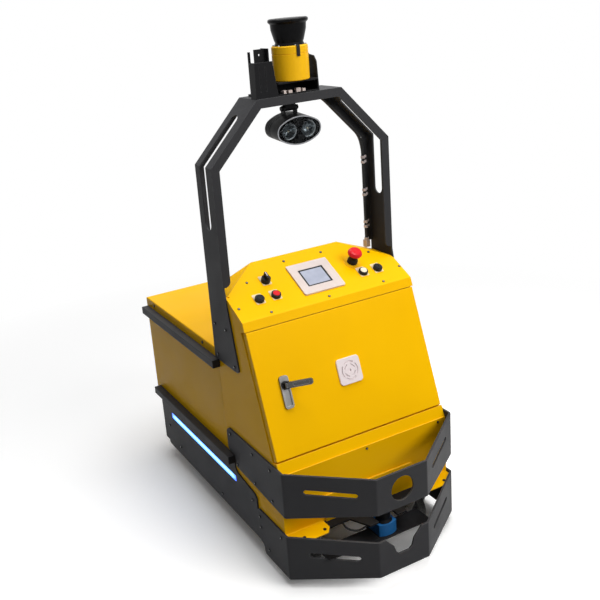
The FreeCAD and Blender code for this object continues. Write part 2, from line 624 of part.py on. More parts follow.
# ---------------------------------------------------------------- mast arch
def arch_band(depth, foot_z):
    """The arch's outline as a band of the given depth, as (x, z) points."""
    outer = [(ARCH_HALF, foot_z), (ARCH_HALF, ARCH_BEND_Z), (ARCH_TOP_HALF, ARCH_TOP_Z)]
    lean = math.atan2(ARCH_TOP_Z - ARCH_BEND_Z, ARCH_HALF - ARCH_TOP_HALF)
    low = depth * math.tan((math.pi / 2 - lean) / 2)
    high = depth * math.tan(lean / 2)
    inner = [(ARCH_TOP_HALF - high, ARCH_TOP_Z - depth), (ARCH_HALF - depth, ARCH_BEND_Z - low),
             (ARCH_HALF - depth, foot_z)]
    return outer + [(-x, z) for x, z in reversed(outer)] + [(-x, z) for x, z in reversed(inner)] + inner


def mast_arch():
    """One C-channel bent over the console, its web outside, ending in two mounting plates."""
    web = prism_y(arch_band(ARCH_SHEET, ARCH_FLANGE_END_Z - 30), ARCH_FRONT_Y, ARCH_BACK_Y)
    flange = prism_y(arch_band(ARCH_FLANGE, ARCH_FLANGE_END_Z), ARCH_FRONT_Y, ARCH_FRONT_Y + ARCH_SHEET)
    rear_flange = moved(flange, y=ARCH_DEPTH - ARCH_SHEET)
    foot = prism_x([(ARCH_BACK_Y, ARCH_FOOT_Z),
                    (ARCH_FOOT_FRONT_Y + 10, ARCH_FOOT_Z), (ARCH_FOOT_FRONT_Y, ARCH_FOOT_Z + 6),
                    (ARCH_FOOT_FRONT_Y, ARCH_FOOT_Z + 14), (ARCH_FRONT_Y, ARCH_FLANGE_END_Z - 8),
                    (ARCH_BACK_Y, ARCH_FLANGE_END_Z - 8)], HALF, ARCH_HALF)
    arch = fuse([web, flange, rear_flange, foot, mirrored(foot)])
    corners = []
    for side in (-1, 1):
        radius = ARCH_FLANGE - ARCH_SHEET - 3
        x = ARCH_HALF - ARCH_FLANGE
        z = ARCH_FLANGE_END_Z
        square = box(x - 1, x + radius, ARCH_FRONT_Y - 1, ARCH_BACK_Y + 1, z - 1, z + radius)
        corner = square.cut(cylinder(V(x + radius, ARCH_FRONT_Y - 2, z + radius), V(0, 1, 0), radius,
                                     ARCH_DEPTH + 4))
        corners.append(corner if side > 0 else mirrored(corner))
    half_slot = ARCH_SLOT / 2
    lean = math.atan2(ARCH_TOP_Z - ARCH_BEND_Z, ARCH_HALF - ARCH_TOP_HALF)
    rise = V(-math.cos(lean), 0, math.sin(lean))
    start = V(ARCH_HALF - 20, ARCH_SLOT_Y, ARCH_SLOT_FROM_Z + half_slot)
    face_length = math.hypot(ARCH_TOP_Z - ARCH_BEND_Z, ARCH_HALF - ARCH_TOP_HALF)
    end_s = face_length - 58 - half_slot
    end = V(ARCH_HALF, ARCH_SLOT_Y, ARCH_BEND_Z) + rise * end_s
    out = V(math.sin(lean), 0, math.cos(lean))
    low = box(ARCH_HALF - 12, ARCH_HALF + 10, ARCH_SLOT_Y - half_slot, ARCH_SLOT_Y + half_slot,
              ARCH_SLOT_FROM_Z + half_slot, ARCH_BEND_Z)
    high = box(-12, 10, ARCH_SLOT_Y - half_slot, ARCH_SLOT_Y + half_slot, 0, end_s)
    high.rotate(V(0, 0, 0), V(0, 1, 0), math.degrees(lean) - 90)
    high.translate(V(ARCH_HALF, 0, ARCH_BEND_Z))
    round_low = cylinder(start, V(1, 0, 0), half_slot, 40)
    round_high = cylinder(end - out * 12, out, half_slot, 22)
    slot = low.multiFuse([high, round_low, round_high])
    return cut(arch, [slot, mirrored(slot)] + corners)


# ---------------------------------------------------------------- navigation scanner
def nav_cradle():
    """A bent plate on the beam: two unequal cheeks beside the scanner and the shelf that it stands on."""
    half = NAV_R + NAV_SIDE_GAP
    outer = half + NAV_CHEEK
    front = NAV_Y - 38
    back = NAV_Y + 50
    top = NAV_TOP_Z - 3
    base = box(-half, half, front, back, ARCH_TOP_Z, ARCH_TOP_Z + NAV_CHEEK)
    shelf = box(-half, half, front, back, NAV_SHELF_Z, NAV_SEAT_Z)
    shelf = shelf.cut(cylinder(V(0, NAV_Y, NAV_SHELF_Z - 1), V(0, 0, 1), 22, NAV_SHELF + 2))
    wall = box(-half, half, back - NAV_CHEEK, back, ARCH_TOP_Z, NAV_SEAT_Z)
    long_cheek = prism_x([(front, ARCH_TOP_Z), (back, ARCH_TOP_Z), (back, top), (front + 66, top),
                          (front + 46, NAV_SEAT_Z + 66), (front + 18, NAV_SEAT_Z + 62), (front + 6, NAV_SEAT_Z + 46)],
                         half, outer)
    for v in (30, 44, 72):
        long_cheek = long_cheek.cut(cylinder(V(half - 1, front + 20, ARCH_TOP_Z + v), V(1, 0, 0), 2.5, NAV_CHEEK + 2))
    short_cheek = box(-outer, -half, NAV_Y + 8, back, ARCH_TOP_Z, top)
    flange = box(-NAV_FLANGE_X, -half, NAV_Y + 22, NAV_Y + 22 + NAV_CHEEK, ARCH_TOP_Z, top)
    flange = flange.cut(cylinder(V(-NAV_FLANGE_X + 16, NAV_Y, top - 16), V(0, 1, 0), 3, 40))
    return fuse([base, shelf, wall, long_cheek, short_cheek, flange])


def nav_front_plates():
    """A tapered, slotted guard plate on the beam's front edge, and a thin post behind it."""
    y0 = ARCH_FRONT_Y + 2
    foot, height = ARCH_TOP_Z, 100
    right = NAV_R + NAV_SIDE_GAP + NAV_CHEEK + 1
    left = ARCH_TOP_HALF + 1
    plate = prism_y([(-left, foot), (-right, foot), (-right - 13, foot + height), (-left + 3, foot + height)],
                    y0, y0 + SHEET)
    turned = prism_y([(-left, foot), (-left + SHEET, foot), (-left + SHEET + 3, foot + height),
                      (-left + 3, foot + height)], y0 + SHEET, y0 + 30)
    sill = box(-left, -right, y0 + SHEET, y0 + 30, foot, foot + SHEET)
    slots = []
    for x in (-left + 18, -left + 36):
        slot = slot_plate(70, 3, 20)
        slot.rotate(V(0, 0, 0), V(0, 1, 0), 90)
        slot.rotate(V(0, 0, 0), V(0, 0, 1), 90)
        slot.translate(V(x, y0 - 8, foot + height / 2 + 4))
        slots.append(slot)
    guard = cut(fuse([plate, turned, sill]), slots)
    post = box(-NAV_POST_X - 3, -NAV_POST_X + 3, NAV_Y + 48, NAV_Y + 54, foot, NAV_TOP_Z - 10)
    base = box(-NAV_POST_X - 8, -NAV_POST_X + 8, NAV_Y + 42, NAV_Y + 60, foot, foot + 6)
    return Part.makeCompound([guard, fuse([post, base])])


def nav_body():
    """The scanner's lower housing, a plain drum with a parting groove and a seat for the window."""
    top = NAV_TOP_Z
    profile = [(0, NAV_SEAT_Z), (NAV_R - 2, NAV_SEAT_Z), (NAV_R, NAV_SEAT_Z + 2), (NAV_R, top - 24),
               (NAV_R - 1, top - 23.5), (NAV_R - 1, top - 22), (NAV_R, top - 21.5), (NAV_R, top - 3),
               (NAV_R - 3, top), (0, top)]
    return revolved(profile, NAV_Y)


def revolved(profile, y, x=0.0):
    """A solid turned about an upright axis, from (radius, z) points."""
    face = face_of([V(x + radius, y, z) for radius, z in profile])
    return face.revolve(V(x, y, 0), V(0, 0, 1), 360)


def nav_window():
    """The dark hood over the mirror: it widens upward from its neck to its rim."""
    base = NAV_TOP_Z
    wall = WINDOW_WALL
    top = WINDOW_TOP_Z
    outer = [(WINDOW_NECK_R + 4, base), (WINDOW_NECK_R, base + 8), (WINDOW_NECK_R + 3, base + 16), (51, base + 44),
             (52, base + 60), (WINDOW_RIM_R, top - 9), (WINDOW_RIM_R, top - 3), (WINDOW_RIM_R - 4, top)]
    inner = [(0, top), (0, top - wall), (44, top - wall), (52 - wall, base + 59), (51 - wall, base + 45),
             (WINDOW_NECK_R - 1, base + 17), (WINDOW_NECK_R - 4, base + 9), (WINDOW_NECK_R - 4, base + wall),
             (8, base + wall), (8, base)]
    return revolved(outer + inner, NAV_Y)


def nav_mirror():
    """The turning mirror head on its spindle, inside the hood."""
    base = NAV_TOP_Z
    drum = cylinder(V(0, NAV_Y, base + 6), V(0, 0, 1), MIRROR_R, 50)
    slope = prism_x([(NAV_Y - 40, base + 30), (NAV_Y - 40, base + 60), (NAV_Y + 14, base + 60)], -40, 40)
    spindle = cylinder(V(0, NAV_Y, base + SLIDE), V(0, 0, 1), 6, 8)
    return fuse([drum.cut(slope), spindle])


# ---------------------------------------------------------------- spot light
def at_lamp(shape):
    """From the housing's own frame, its middle at the origin, to its tilted place under the beam."""
    return place(shape, V(0, LAMP_Y, LAMP_Z), LAMP_PITCH)


def lamp_oval(inset, y0, y1):
    """An oval bar along Y, drawn in by the inset: two round ends joined by two flat crowns."""
    half_width = LAMP_WIDTH / 2
    half_height = LAMP_HEIGHT / 2
    end = half_width - LAMP_END_R
    rise = half_height - LAMP_END_R
    drop = (end * end - rise * rise) / (2 * rise)
    reach = math.hypot(end, drop)
    join_x = end + (LAMP_END_R - inset) * end / reach
    join_z = (LAMP_END_R - inset) * drop / reach
    crown = V(0, y0, half_height - inset)
    tip = V(half_width - inset, y0, 0)
    corners = [V(join_x, y0, join_z), V(join_x, y0, -join_z), V(-join_x, y0, -join_z), V(-join_x, y0, join_z)]
    arcs = [Part.Arc(corners[3], crown, corners[0]), Part.Arc(corners[0], tip, corners[1]),
            Part.Arc(corners[1], V(0, y0, -crown.z), corners[2]), Part.Arc(corners[2], V(-tip.x, y0, 0), corners[3])]
    face = Part.Face(Part.Wire([arc.toShape() for arc in arcs]))
    return face.extrude(V(0, y1 - y0, 0))


def lamp_pin_place():
    """Where the pin lies in the housing's own frame."""
    return V(0, LAMP_PIN_BACK, LAMP_HEIGHT / 2 + LAMP_PIN_RISE)


def lamp_housing():
    """The oval housing with a rim round its glass, two reflector bowls, cooling ribs and two ears."""
    face, back = -LAMP_DEPTH / 2, LAMP_DEPTH / 2
    body = lamp_oval(0, face, back)
    cuts = [lamp_oval(LAMP_RIM, face - 1, face + LAMP_GLASS)]
    for side in (-1, 1):
        bowl = Part.makeCone(LENS_R + SLIDE, LENS_R - 8, 24, V(side * LENS_PITCH / 2, face + LAMP_GLASS, 0), V(0, 1, 0))
        cuts.append(bowl)
    for step in range(3):
        y = 8 + 9 * step
        cuts.append(lamp_oval(-5, y, y + 3).cut(lamp_oval(4, y - 1, y + 4)))
    pin = lamp_pin_place()
    ears = []
    for side in (-1, 1):
        x = side * (LAMP_TONGUE / 2 + SLIDE + LAMP_EAR / 2)
        ear = box(x - LAMP_EAR / 2, x + LAMP_EAR / 2, pin.y - LAMP_EAR_R, pin.y + LAMP_EAR_R, LAMP_HEIGHT / 2 - 8, pin.z)
        ears.append(ear)
        ears.append(cylinder(V(x - LAMP_EAR / 2, pin.y, pin.z), V(1, 0, 0), LAMP_EAR_R, LAMP_EAR))
    bore = cylinder(V(-LAMP_WIDTH / 2, pin.y, pin.z), V(1, 0, 0), LAMP_PIN_R + FIT, LAMP_WIDTH)
    return at_lamp(fuse([cut(body, cuts)] + ears).cut(bore))


def lamp_lenses():
    """The cover glass, and behind it a domed lens in each bowl."""
    face = -LAMP_DEPTH / 2
    pieces = [lamp_oval(LAMP_RIM + 0.2, face + 0.4, face + LAMP_GLASS)]
    for side in (-1, 1):
        x = side * LENS_PITCH / 2
        seat = face + LAMP_GLASS + 24
        dome = revolve_y([(0, seat - 15), (7, seat - 13), (12, seat - 8), (13, seat), (0, seat)], x)
        pieces.append(dome)
    return at_lamp(Part.makeCompound(pieces))


def revolve_y(profile, x):
    """A solid turned about an axis along Y, from (radius, y) points."""
    face = face_of([V(x + radius, y, 0) for radius, y in profile])
    return face.revolve(V(x, 0, 0), V(0, 1, 0), 360)


def lamp_bracket():
    """A plate bolted under the beam with a tongue, and the pin that the housing's ears hang on."""
    pin = at_lamp(Part.Vertex(lamp_pin_place())).Point
    half = LAMP_TONGUE / 2
    under = ARCH_UNDER_Z
    plate = box(-half - 27, half + 27, pin.y - 16, pin.y + 16, under - 3, under)
    tongue = box(-half, half, pin.y - LAMP_EAR_R, pin.y + LAMP_EAR_R, pin.z, under - 3)
    toe = cylinder(V(-half, pin.y, pin.z), V(1, 0, 0), LAMP_EAR_R, LAMP_TONGUE)
    reach = half + SLIDE + LAMP_EAR + SLIDE
    rod = cylinder(V(-reach - 5, pin.y, pin.z), V(1, 0, 0), LAMP_PIN_R, 2 * reach + 10)
    pieces = [plate, tongue, toe, rod]
    for side in (-1, 1):
        pieces.append(cylinder(V(side * reach, pin.y, pin.z), V(side, 0, 0), 7, 5))
        pieces.append(cylinder(V(side * (half + 15), pin.y, under - 9), V(0, 0, 1), 6, 7))
    return fuse(pieces)


# ---------------------------------------------------------------- front scanner
def scanner_base():
    """The blue housing: a round-fronted block with a shoulder that rises behind the head."""
    half = SCANNER_WIDTH / 2
    block = box(-half, half, SCANNER_FRONT_Y, SCANNER_BACK_Y, SCANNER_Z, SCANNER_SPLIT_Z)
    barrel = cylinder(V(0, SCANNER_FRONT_Y + 60, SCANNER_Z), V(0, 0, 1), 60, SCANNER_SPLIT_Z - SCANNER_Z)
    rear = box(-half, half, SCANNER_FRONT_Y + 30, SCANNER_BACK_Y, SCANNER_Z, SCANNER_SPLIT_Z)
    shoulder = prism_x([(SCANNER_FRONT_Y + SCANNER_NECK, SCANNER_SPLIT_Z), (SCANNER_BACK_Y, SCANNER_SPLIT_Z),
                        (SCANNER_BACK_Y, SCANNER_SHOULDER_Z - 12), (SCANNER_BACK_Y - 10, SCANNER_SHOULDER_Z),
                        (SCANNER_FRONT_Y + SCANNER_NECK + 8, SCANNER_SHOULDER_Z)], -half + 4, half - 4)
    return fuse([block.common(barrel), rear, shoulder])


def scanner_head():
    """The scanner's window and cap: a waisted half drum in front of the shoulder."""
    half = SCANNER_WIDTH / 2
    middle = SCANNER_FRONT_Y + half + 2
    split = SCANNER_SPLIT_Z
    drum = revolved([(0, split), (half - 3, split), (half - 8, split + 8), (half - 6, split + 32),
                     (half, split + 40), (half, SCANNER_TOP_Z - 3), (half - 3, SCANNER_TOP_Z), (0, SCANNER_TOP_Z)],
                    middle)
    behind = prism_x([(SCANNER_FRONT_Y + SCANNER_NECK - SLIDE, split - 1), (SCANNER_BACK_Y + 9, split - 1),
                      (SCANNER_BACK_Y + 9, SCANNER_TOP_Z + 1),
                      (SCANNER_FRONT_Y + SCANNER_NECK + 8 - SLIDE, SCANNER_TOP_Z + 1)], -half - 9, half + 9)
    return drum.cut(behind)


def scanner_bracket():
    """A bent plate: a tray under the scanner, a wider front lip, and an upright to the deck."""
    tray = box(-36, 36, SCANNER_FRONT_Y - 6, SCANNER_BACK_Y + 4, SCANNER_Z - 4, SCANNER_Z)
    lip = box(-150, 36, SCANNER_FRONT_Y - 8, SCANNER_FRONT_Y + 2, SCANNER_Z - 4, SCANNER_Z)
    back = box(-36, 36, SCANNER_BACK_Y, SCANNER_BACK_Y + 4, SCANNER_Z - 4, DECK_Z)
    return fuse([tray, lip, back])


# ---------------------------------------------------------------- casters
def caster_mounts():
    """Each a top plate with four bolt heads, a race and the kingpin."""
    plate = rounded_plate(100, 84, 4, 8)
    plate.translate(V(CASTER_X, CASTER_Y, DECK_Z - 4))
    race = revolved([(0, DECK_Z - 4), (CASTER_HEAD_R, DECK_Z - 4), (CASTER_HEAD_R, DECK_Z - 8),
                     (CASTER_HEAD_R - 4, DECK_Z - 10), (0, DECK_Z - 10)], CASTER_Y, CASTER_X)
    pin = cylinder(V(CASTER_X, CASTER_Y, DECK_Z - 26), V(0, 0, 1), KINGPIN_R, 20)
    one = fuse([plate, race, pin])
    return Part.makeCompound([one, mirrored(one)])


def caster_fork():
    """The left-hand swivelling fork with its axle: a dished head and two tapered legs that trail."""
    top = DECK_Z - 10 - SLIDE
    head = revolved([(KINGPIN_R + FIT, top), (CASTER_HEAD_R - 5, top), (CASTER_HEAD_R - 2, top - 4),
                     (CASTER_HEAD_R - 6, top - 9), (KINGPIN_R + FIT, top - 9)], CASTER_Y, CASTER_X)
    inside = CASTER_WHEEL_WIDTH / 2 + 2.5
    axle_y = CASTER_Y + CASTER_TRAIL
    legs = []
    for side in (-1, 1):
        x0 = CASTER_X + side * inside
        x1 = CASTER_X + side * (inside + 4)
        leg = prism_x([(CASTER_Y - 26, top - 4), (CASTER_Y + 30, top - 4), (axle_y + 14, CASTER_WHEEL_R + 4),
                       (axle_y + 10, CASTER_WHEEL_R - 12), (axle_y - 10, CASTER_WHEEL_R - 12),
                       (axle_y - 16, CASTER_WHEEL_R + 2)], min(x0, x1), max(x0, x1))
        legs.append(leg)
    axle = cylinder(V(CASTER_X - inside - 7, axle_y, CASTER_WHEEL_R), V(1, 0, 0), CASTER_AXLE_R, 2 * inside + 14)
    heads = [cylinder(V(CASTER_X - inside - 8, axle_y, CASTER_WHEEL_R), V(1, 0, 0), 8, 4),
             cylinder(V(CASTER_X + inside + 4, axle_y, CASTER_WHEEL_R), V(1, 0, 0), 8, 4)]
    return fuse([head, axle] + legs + heads)


def turned_x(profile, x, y, z):
    """A solid turned about an axis along X, from (along X, radius) points."""
    face = face_of([V(x + along, y, z + radius) for along, radius in profile])
    return face.revolve(V(x, y, z), V(1, 0, 0), 360)


def caster_wheel():
    half = CASTER_WHEEL_WIDTH / 2
    r = CASTER_WHEEL_R
    bore = CASTER_AXLE_R + FIT
    profile = [(-half, bore), (half, bore), (half, 14), (half - 6, 17), (half - 6, r - 14), (half - 1, r - 11),
               (half - 1, r - 5), (half - 5, r - 1), (half - 10, r), (-half + 10, r), (-half + 5, r - 1),
               (-half + 1, r - 5), (-half + 1, r - 11), (-half + 6, r - 14), (-half + 6, 17), (-half, 14)]
    return turned_x(profile, CASTER_X, CASTER_Y + CASTER_TRAIL, r)


# ---------------------------------------------------------------- drive
def drive_tyre():
    half = DRIVE_WHEEL_WIDTH / 2
    r = DRIVE_WHEEL_R
    profile = [(-half, DRIVE_RIM_R), (half, DRIVE_RIM_R), (half, r - 6), (half - 2, r - 2), (half - 6, r),
               (-half + 6, r), (-half + 2, r - 2), (-half, r - 6)]
    return turned_x(profile, DRIVE_X, DRIVE_Y, r)


def drive_hub():
    half = DRIVE_WHEEL_WIDTH / 2
    rim = DRIVE_RIM_R - FIT
    bore = DRIVE_SHAFT_R + FIT
    profile = [(-half, bore), (half + 2, bore), (half + 2, 26), (6, 30), (6, rim - 8), (half - 1, rim - 6),
               (half - 1, rim), (-half + 1, rim), (-half + 1, rim - 6), (-6, rim - 8), (-6, 30), (-half, 26)]
    hub = turned_x(profile, DRIVE_X, DRIVE_Y, DRIVE_WHEEL_R)
    holes = []
    for turn in range(6):
        angle = math.radians(60 * turn)
        holes.append(cylinder(V(DRIVE_X - 20, DRIVE_Y + 47 * math.cos(angle), DRIVE_WHEEL_R + 47 * math.sin(angle)),
                              V(1, 0, 0), 9, 40))
    return cut(hub, holes)


def drive_gearmotors():
    """A gearbox bolted under the floor, its motor towards the middle and its shaft to the wheel."""
    inner = DRIVE_X - DRIVE_WHEEL_WIDTH / 2 - 10
    z = DRIVE_WHEEL_R
    gearbox = box(inner - 60, inner, DRIVE_Y - 45, DRIVE_Y + 45, z - 42, z + 48)
    edges = [e for e in gearbox.Edges if abs(e.tangentAt(e.FirstParameter).x) > 0.99]
    gearbox = gearbox.makeFillet(10, edges)
    flange = box(inner - 60, inner, DRIVE_Y - 62, DRIVE_Y + 62, FLOOR_Z - 8, FLOOR_Z)
    web = box(inner - 50, inner - 10, DRIVE_Y - 40, DRIVE_Y + 40, z + 40, FLOOR_Z - 4)
    motor = turned_x([(0, 0), (0, 34), (-8, 38), (-92, 38), (-96, 34), (-96, 0)], inner - 60, DRIVE_Y, z)
    shaft = cylinder(V(inner - 1, DRIVE_Y, z), V(1, 0, 0), DRIVE_SHAFT_R, DRIVE_WHEEL_WIDTH + 16)
    cap = cylinder(V(DRIVE_X + DRIVE_WHEEL_WIDTH / 2 + 2 + SLIDE, DRIVE_Y, z), V(1, 0, 0), 18, 5)
    one = fuse([gearbox, flange, web, motor, shaft, cap])
    return Part.makeCompound([one, mirrored(one)])


# ---------------------------------------------------------------- inner units
def battery_pack():
    x, y0, y1 = 150, 392, SKIRT_REAR_Y - 24
    case = box(-x, x, y0, y1, FLOOR_Z + FLOOR_SHEET, 420)
    edges = [e for e in case.Edges if abs(e.tangentAt(e.FirstParameter).z) > 0.99]
    case = case.makeFillet(8, edges)
    posts = [cylinder(V(side * 90, y0 + 40, 420), V(0, 0, 1), 9, 14) for side in (-1, 1)]
    return fuse([case] + posts)


def controller_unit():
    """The mounting plate inside the console with the control modules on it."""
    plate = box(-250, 250, CONSOLE_BACK_Y - SHEET - 3, CONSOLE_BACK_Y - SHEET, SILL_Z + 20, 780)
    front = CONSOLE_BACK_Y - SHEET - 3
    pieces = [plate]
    for x, z, width, height, depth in ((-150, 620, 160, 110, 70), (60, 620, 180, 110, 60), (-80, 450, 260, 90, 80),
                                       (140, 450, 90, 120, 70), (0, 320, 380, 60, 50)):
        pieces.append(box(x - width / 2, x + width / 2, front - depth, front, z - height / 2, z + height / 2))
    return fuse(pieces)


# ---------------------------------------------------------------- operating elements
def button_bodies():
    """The ring, collar and contact block of each pushbutton, selector and key switch."""
    places = switch_places()
    bodies = []
    for name in ("selector", "black", "red", "white", "key"):
        across, up = places[name]
        profile = [(0, -46), (13, -46), (13, -SHEET - 8), (15, -SHEET - 8), (15, -SHEET), (SWITCH_R, -SHEET),
                   (SWITCH_R, LEGEND_SHEET), (BEZEL_R, LEGEND_SHEET), (BEZEL_R, BEZEL_HEIGHT - 1.5),
                   (BEZEL_R - 1.5, BEZEL_HEIGHT), (CAP_R + SLIDE, BEZEL_HEIGHT), (CAP_R + SLIDE, -2), (0, -2)]
        face = face_of([V(across + radius, up, z) for radius, z in profile])
        body = face.revolve(V(across, up, 0), V(0, 0, 1), 360)
        bodies.append(at_panel(body))
    return Part.makeCompound(bodies)


def legend_plates():
    plates = []
    places = switch_places()
    for name in ("selector", "black", "red", "white", "key"):
        across, up = places[name]
        plate = rounded_plate(LEGEND - 10, LEGEND, LEGEND_SHEET, 3)
        plate = plate.cut(cylinder(V(0, -4, -1), V(0, 0, 1), SWITCH_R + FIT, 5))
        plate.translate(V(across, up + 4, 0))
        plates.append(at_panel(plate))
    return Part.makeCompound(plates)


def button_cap(name):
    across, up = switch_places()[name]
    rise = BEZEL_HEIGHT + 2.0
    profile = [(0, 3), (CAP_R, 3), (CAP_R, rise - 1), (CAP_R - 1, rise), (0, rise)]
    face = face_of([V(across + radius, up, z) for radius, z in profile])
    return at_panel(face.revolve(V(across, up, 0), V(0, 0, 1), 360))


def selector_knob():
    across, up = switch_places()["selector"]
    stem = cylinder(V(0, 0, -1.5), V(0, 0, 1), CAP_R, BEZEL_HEIGHT + 2.5)
    skirt = cylinder(V(0, 0, BEZEL_HEIGHT + SLIDE), V(0, 0, 1), BEZEL_R - 0.5, 4)
    grip = rounded_plate(9, 2 * BEZEL_R - 2, 14, 4)
    grip.translate(V(0, 0, BEZEL_HEIGHT + 3))
    knob = fuse([stem, skirt, grip])
    knob.translate(V(across, up, 0))
    return at_panel(knob)


def key_barrel():
    across, up = switch_places()["key"]
    barrel = cylinder(V(0, 0, -1.5), V(0, 0, 1), CAP_R, BEZEL_HEIGHT + 4)
    slit = box(-1.2, 1.2, -5, 5, BEZEL_HEIGHT - 6, BEZEL_HEIGHT + 5)
    barrel = barrel.cut(slit)
    barrel.translate(V(across, up, 0))
    return at_panel(barrel)


def estop_body():
    across, up = switch_places()["estop"]
    bore = ESTOP_STEM_R + SLIDE
    profile = [(0, -50), (14, -50), (14, -SHEET - 8), (15, -SHEET - 8), (15, -SHEET), (SWITCH_R, -SHEET),
               (SWITCH_R, 1.5), (ESTOP_COLLAR_R, 1.5), (ESTOP_COLLAR_R, 12), (ESTOP_COLLAR_R - 2, 16),
               (ESTOP_COLLAR_R - 3, ESTOP_COLLAR_HEIGHT), (bore, ESTOP_COLLAR_HEIGHT), (bore, 2), (0, 2)]
    face = face_of([V(across + radius, up, z) for radius, z in profile])
    return at_panel(face.revolve(V(across, up, 0), V(0, 0, 1), 360))


def estop_legend():
    across, up = switch_places()["estop"]
    ring = cylinder(V(across, up, 0), V(0, 0, 1), 27, 1.5)
    return at_panel(ring.cut(cylinder(V(across, up, -1), V(0, 0, 1), SWITCH_R + FIT, 5)))


def estop_stem():
    across, up = switch_places()["estop"]
    return at_panel(cylinder(V(across, up, 7), V(0, 0, 1), ESTOP_STEM_R, ESTOP_TOP - 14))


def estop_cap():
    across, up = switch_places()["estop"]
    r = ESTOP_CAP_R
    bore = ESTOP_STEM_R + FIT
    low = ESTOP_COLLAR_HEIGHT + BUTTON_TRAVEL + 1.5
    profile = [(bore, low), (r - 6, low), (r - 1, low + 4), (r, low + 8), (r - 1, low + 12), (r - 4, ESTOP_TOP - 2),
               (r - 9, ESTOP_TOP), (0, ESTOP_TOP), (0, ESTOP_TOP - 6.5), (bore, ESTOP_TOP - 6.5)]
    face = face_of([V(across + radius, up, z) for radius, z in profile])
    return at_panel(face.revolve(V(across, up, 0), V(0, 0, 1), 360))


def hmi_bezel():
    frame = rounded_plate(HMI_WIDTH, HMI_LENGTH, HMI_RISE, 4)
    frame.translate(V(HMI_U, HMI_FOOT + HMI_LENGTH / 2, 0))
    case = box(HMI_U - HMI_WIDTH / 2 + 5, HMI_U + HMI_WIDTH / 2 - 5, HMI_FOOT + 5, HMI_FOOT + HMI_LENGTH - 5,
               -HMI_BEHIND, 1)
    low = HMI_FOOT + SCREEN_FOOT
    window = box(SCREEN_U - SCREEN_WIDTH / 2, SCREEN_U + SCREEN_WIDTH / 2, low, low + SCREEN_LENGTH,
                 HMI_RISE - 3, HMI_RISE + 1)
    return at_panel(fuse([frame, case]).cut(window))


def hmi_screen():
    low = HMI_FOOT + SCREEN_FOOT
    return at_panel(box(SCREEN_U - SCREEN_WIDTH / 2 + 0.2, SCREEN_U + SCREEN_WIDTH / 2 - 0.2, low + 0.2,
                        low + SCREEN_LENGTH - 0.2, HMI_RISE - 3, HMI_RISE - 1))


# ---------------------------------------------------------------- door
def door_panel():
    """A folded sheet: a face with returned edges all round, bored at the right for its pivots."""
    outer = box(-DOOR_HALF, DOOR_HALF, DOOR_V0, DOOR_V1, -DOOR_DEPTH, 0)
    rims = [e for e in outer.Edges if e.BoundBox.ZMin > -0.1]
    outer = outer.makeFillet(2, rims)
    inner = box(-DOOR_HALF + DOOR_SHEET, DOOR_HALF - DOOR_SHEET, DOOR_V0 + DOOR_SHEET, DOOR_V1 - DOOR_SHEET,
                -DOOR_DEPTH - 1, -DOOR_SHEET)
    shell = outer.cut(inner)
    x = DOOR_HALF - PIVOT_INSET
    blocks = []
    for v in (DOOR_V0, DOOR_V1 - PIVOT_REACH - 1):
        blocks.append(box(x - 7, DOOR_HALF - 0.5, v, v + PIVOT_REACH + 1, -2 * PIVOT_INSET, -1))
    bore = cylinder(V(x, DOOR_V0 - 5, -PIVOT_INSET), V(0, 1, 0), PIVOT_R + FIT, PIVOT_REACH + 6)
    bore_high = cylinder(V(x, DOOR_V1 - PIVOT_REACH - 1, -PIVOT_INSET), V(0, 1, 0), PIVOT_R + FIT, PIVOT_REACH + 6)
    spindle_hole = cylinder(V(HANDLE_U, SPINDLE_V, -DOOR_DEPTH), V(0, 0, 1), 9 + SLIDE, 40)
    return at_door(cut(fuse([shell] + blocks), [bore, bore_high, spindle_hole]))


def handle_plate():
    """The escutcheon: a round-ended plate with a trough for the folded lever."""
    length = HANDLE_TO - HANDLE_FROM
    middle = (HANDLE_TO + HANDLE_FROM) / 2
    plate = rounded_plate(HANDLE_WIDTH, length, HANDLE_RISE, 9)
    plate.translate(V(HANDLE_U, middle, 0))
    trough = rounded_plate(HANDLE_WIDTH - 8, length - 34, 20, 6)
    trough.translate(V(HANDLE_U, middle - 10, 3))
    bore = cylinder(V(HANDLE_U, SPINDLE_V, -1), V(0, 0, 1), 9 + SLIDE, 40)
    return at_door(cut(plate, [trough, bore]))


def handle_spindle():
    """The turning part: a barrel through the door, the cam behind it and a forked head in front."""
    barrel = cylinder(V(0, 0, -DOOR_DEPTH - 6), V(0, 0, 1), 9, DOOR_DEPTH + 6 + HANDLE_RISE + 2)
    head = cylinder(V(0, 0, HANDLE_RISE + SLIDE), V(0, 0, 1), 12.5, 4)
    ears = []
    for side in (-1, 1):
        ear = box(-9, 8, side * 9 - 1.5, side * 9 + 1.5, HANDLE_RISE + 3, LEVER_AXIS_RISE + 4)
        ears.append(ear)
    pin = cylinder(V(0, -10.5, LEVER_AXIS_RISE), V(0, 1, 0), 2.5, 21)
    cam_top = -STOP_DEPTH - SHEET - CAM_CLEAR
    cam = box(-8, 8, -CAM_REACH, 8, cam_top - CAM_SHEET, cam_top)
    neck = cylinder(V(0, 0, cam_top - CAM_SHEET / 2), V(0, 0, 1), 7, CAM_CLEAR + 11)
    spindle = fuse([barrel, head, pin, neck, cam] + ears)
    spindle.translate(V(HANDLE_U, SPINDLE_V, 0))
    return at_door(spindle)


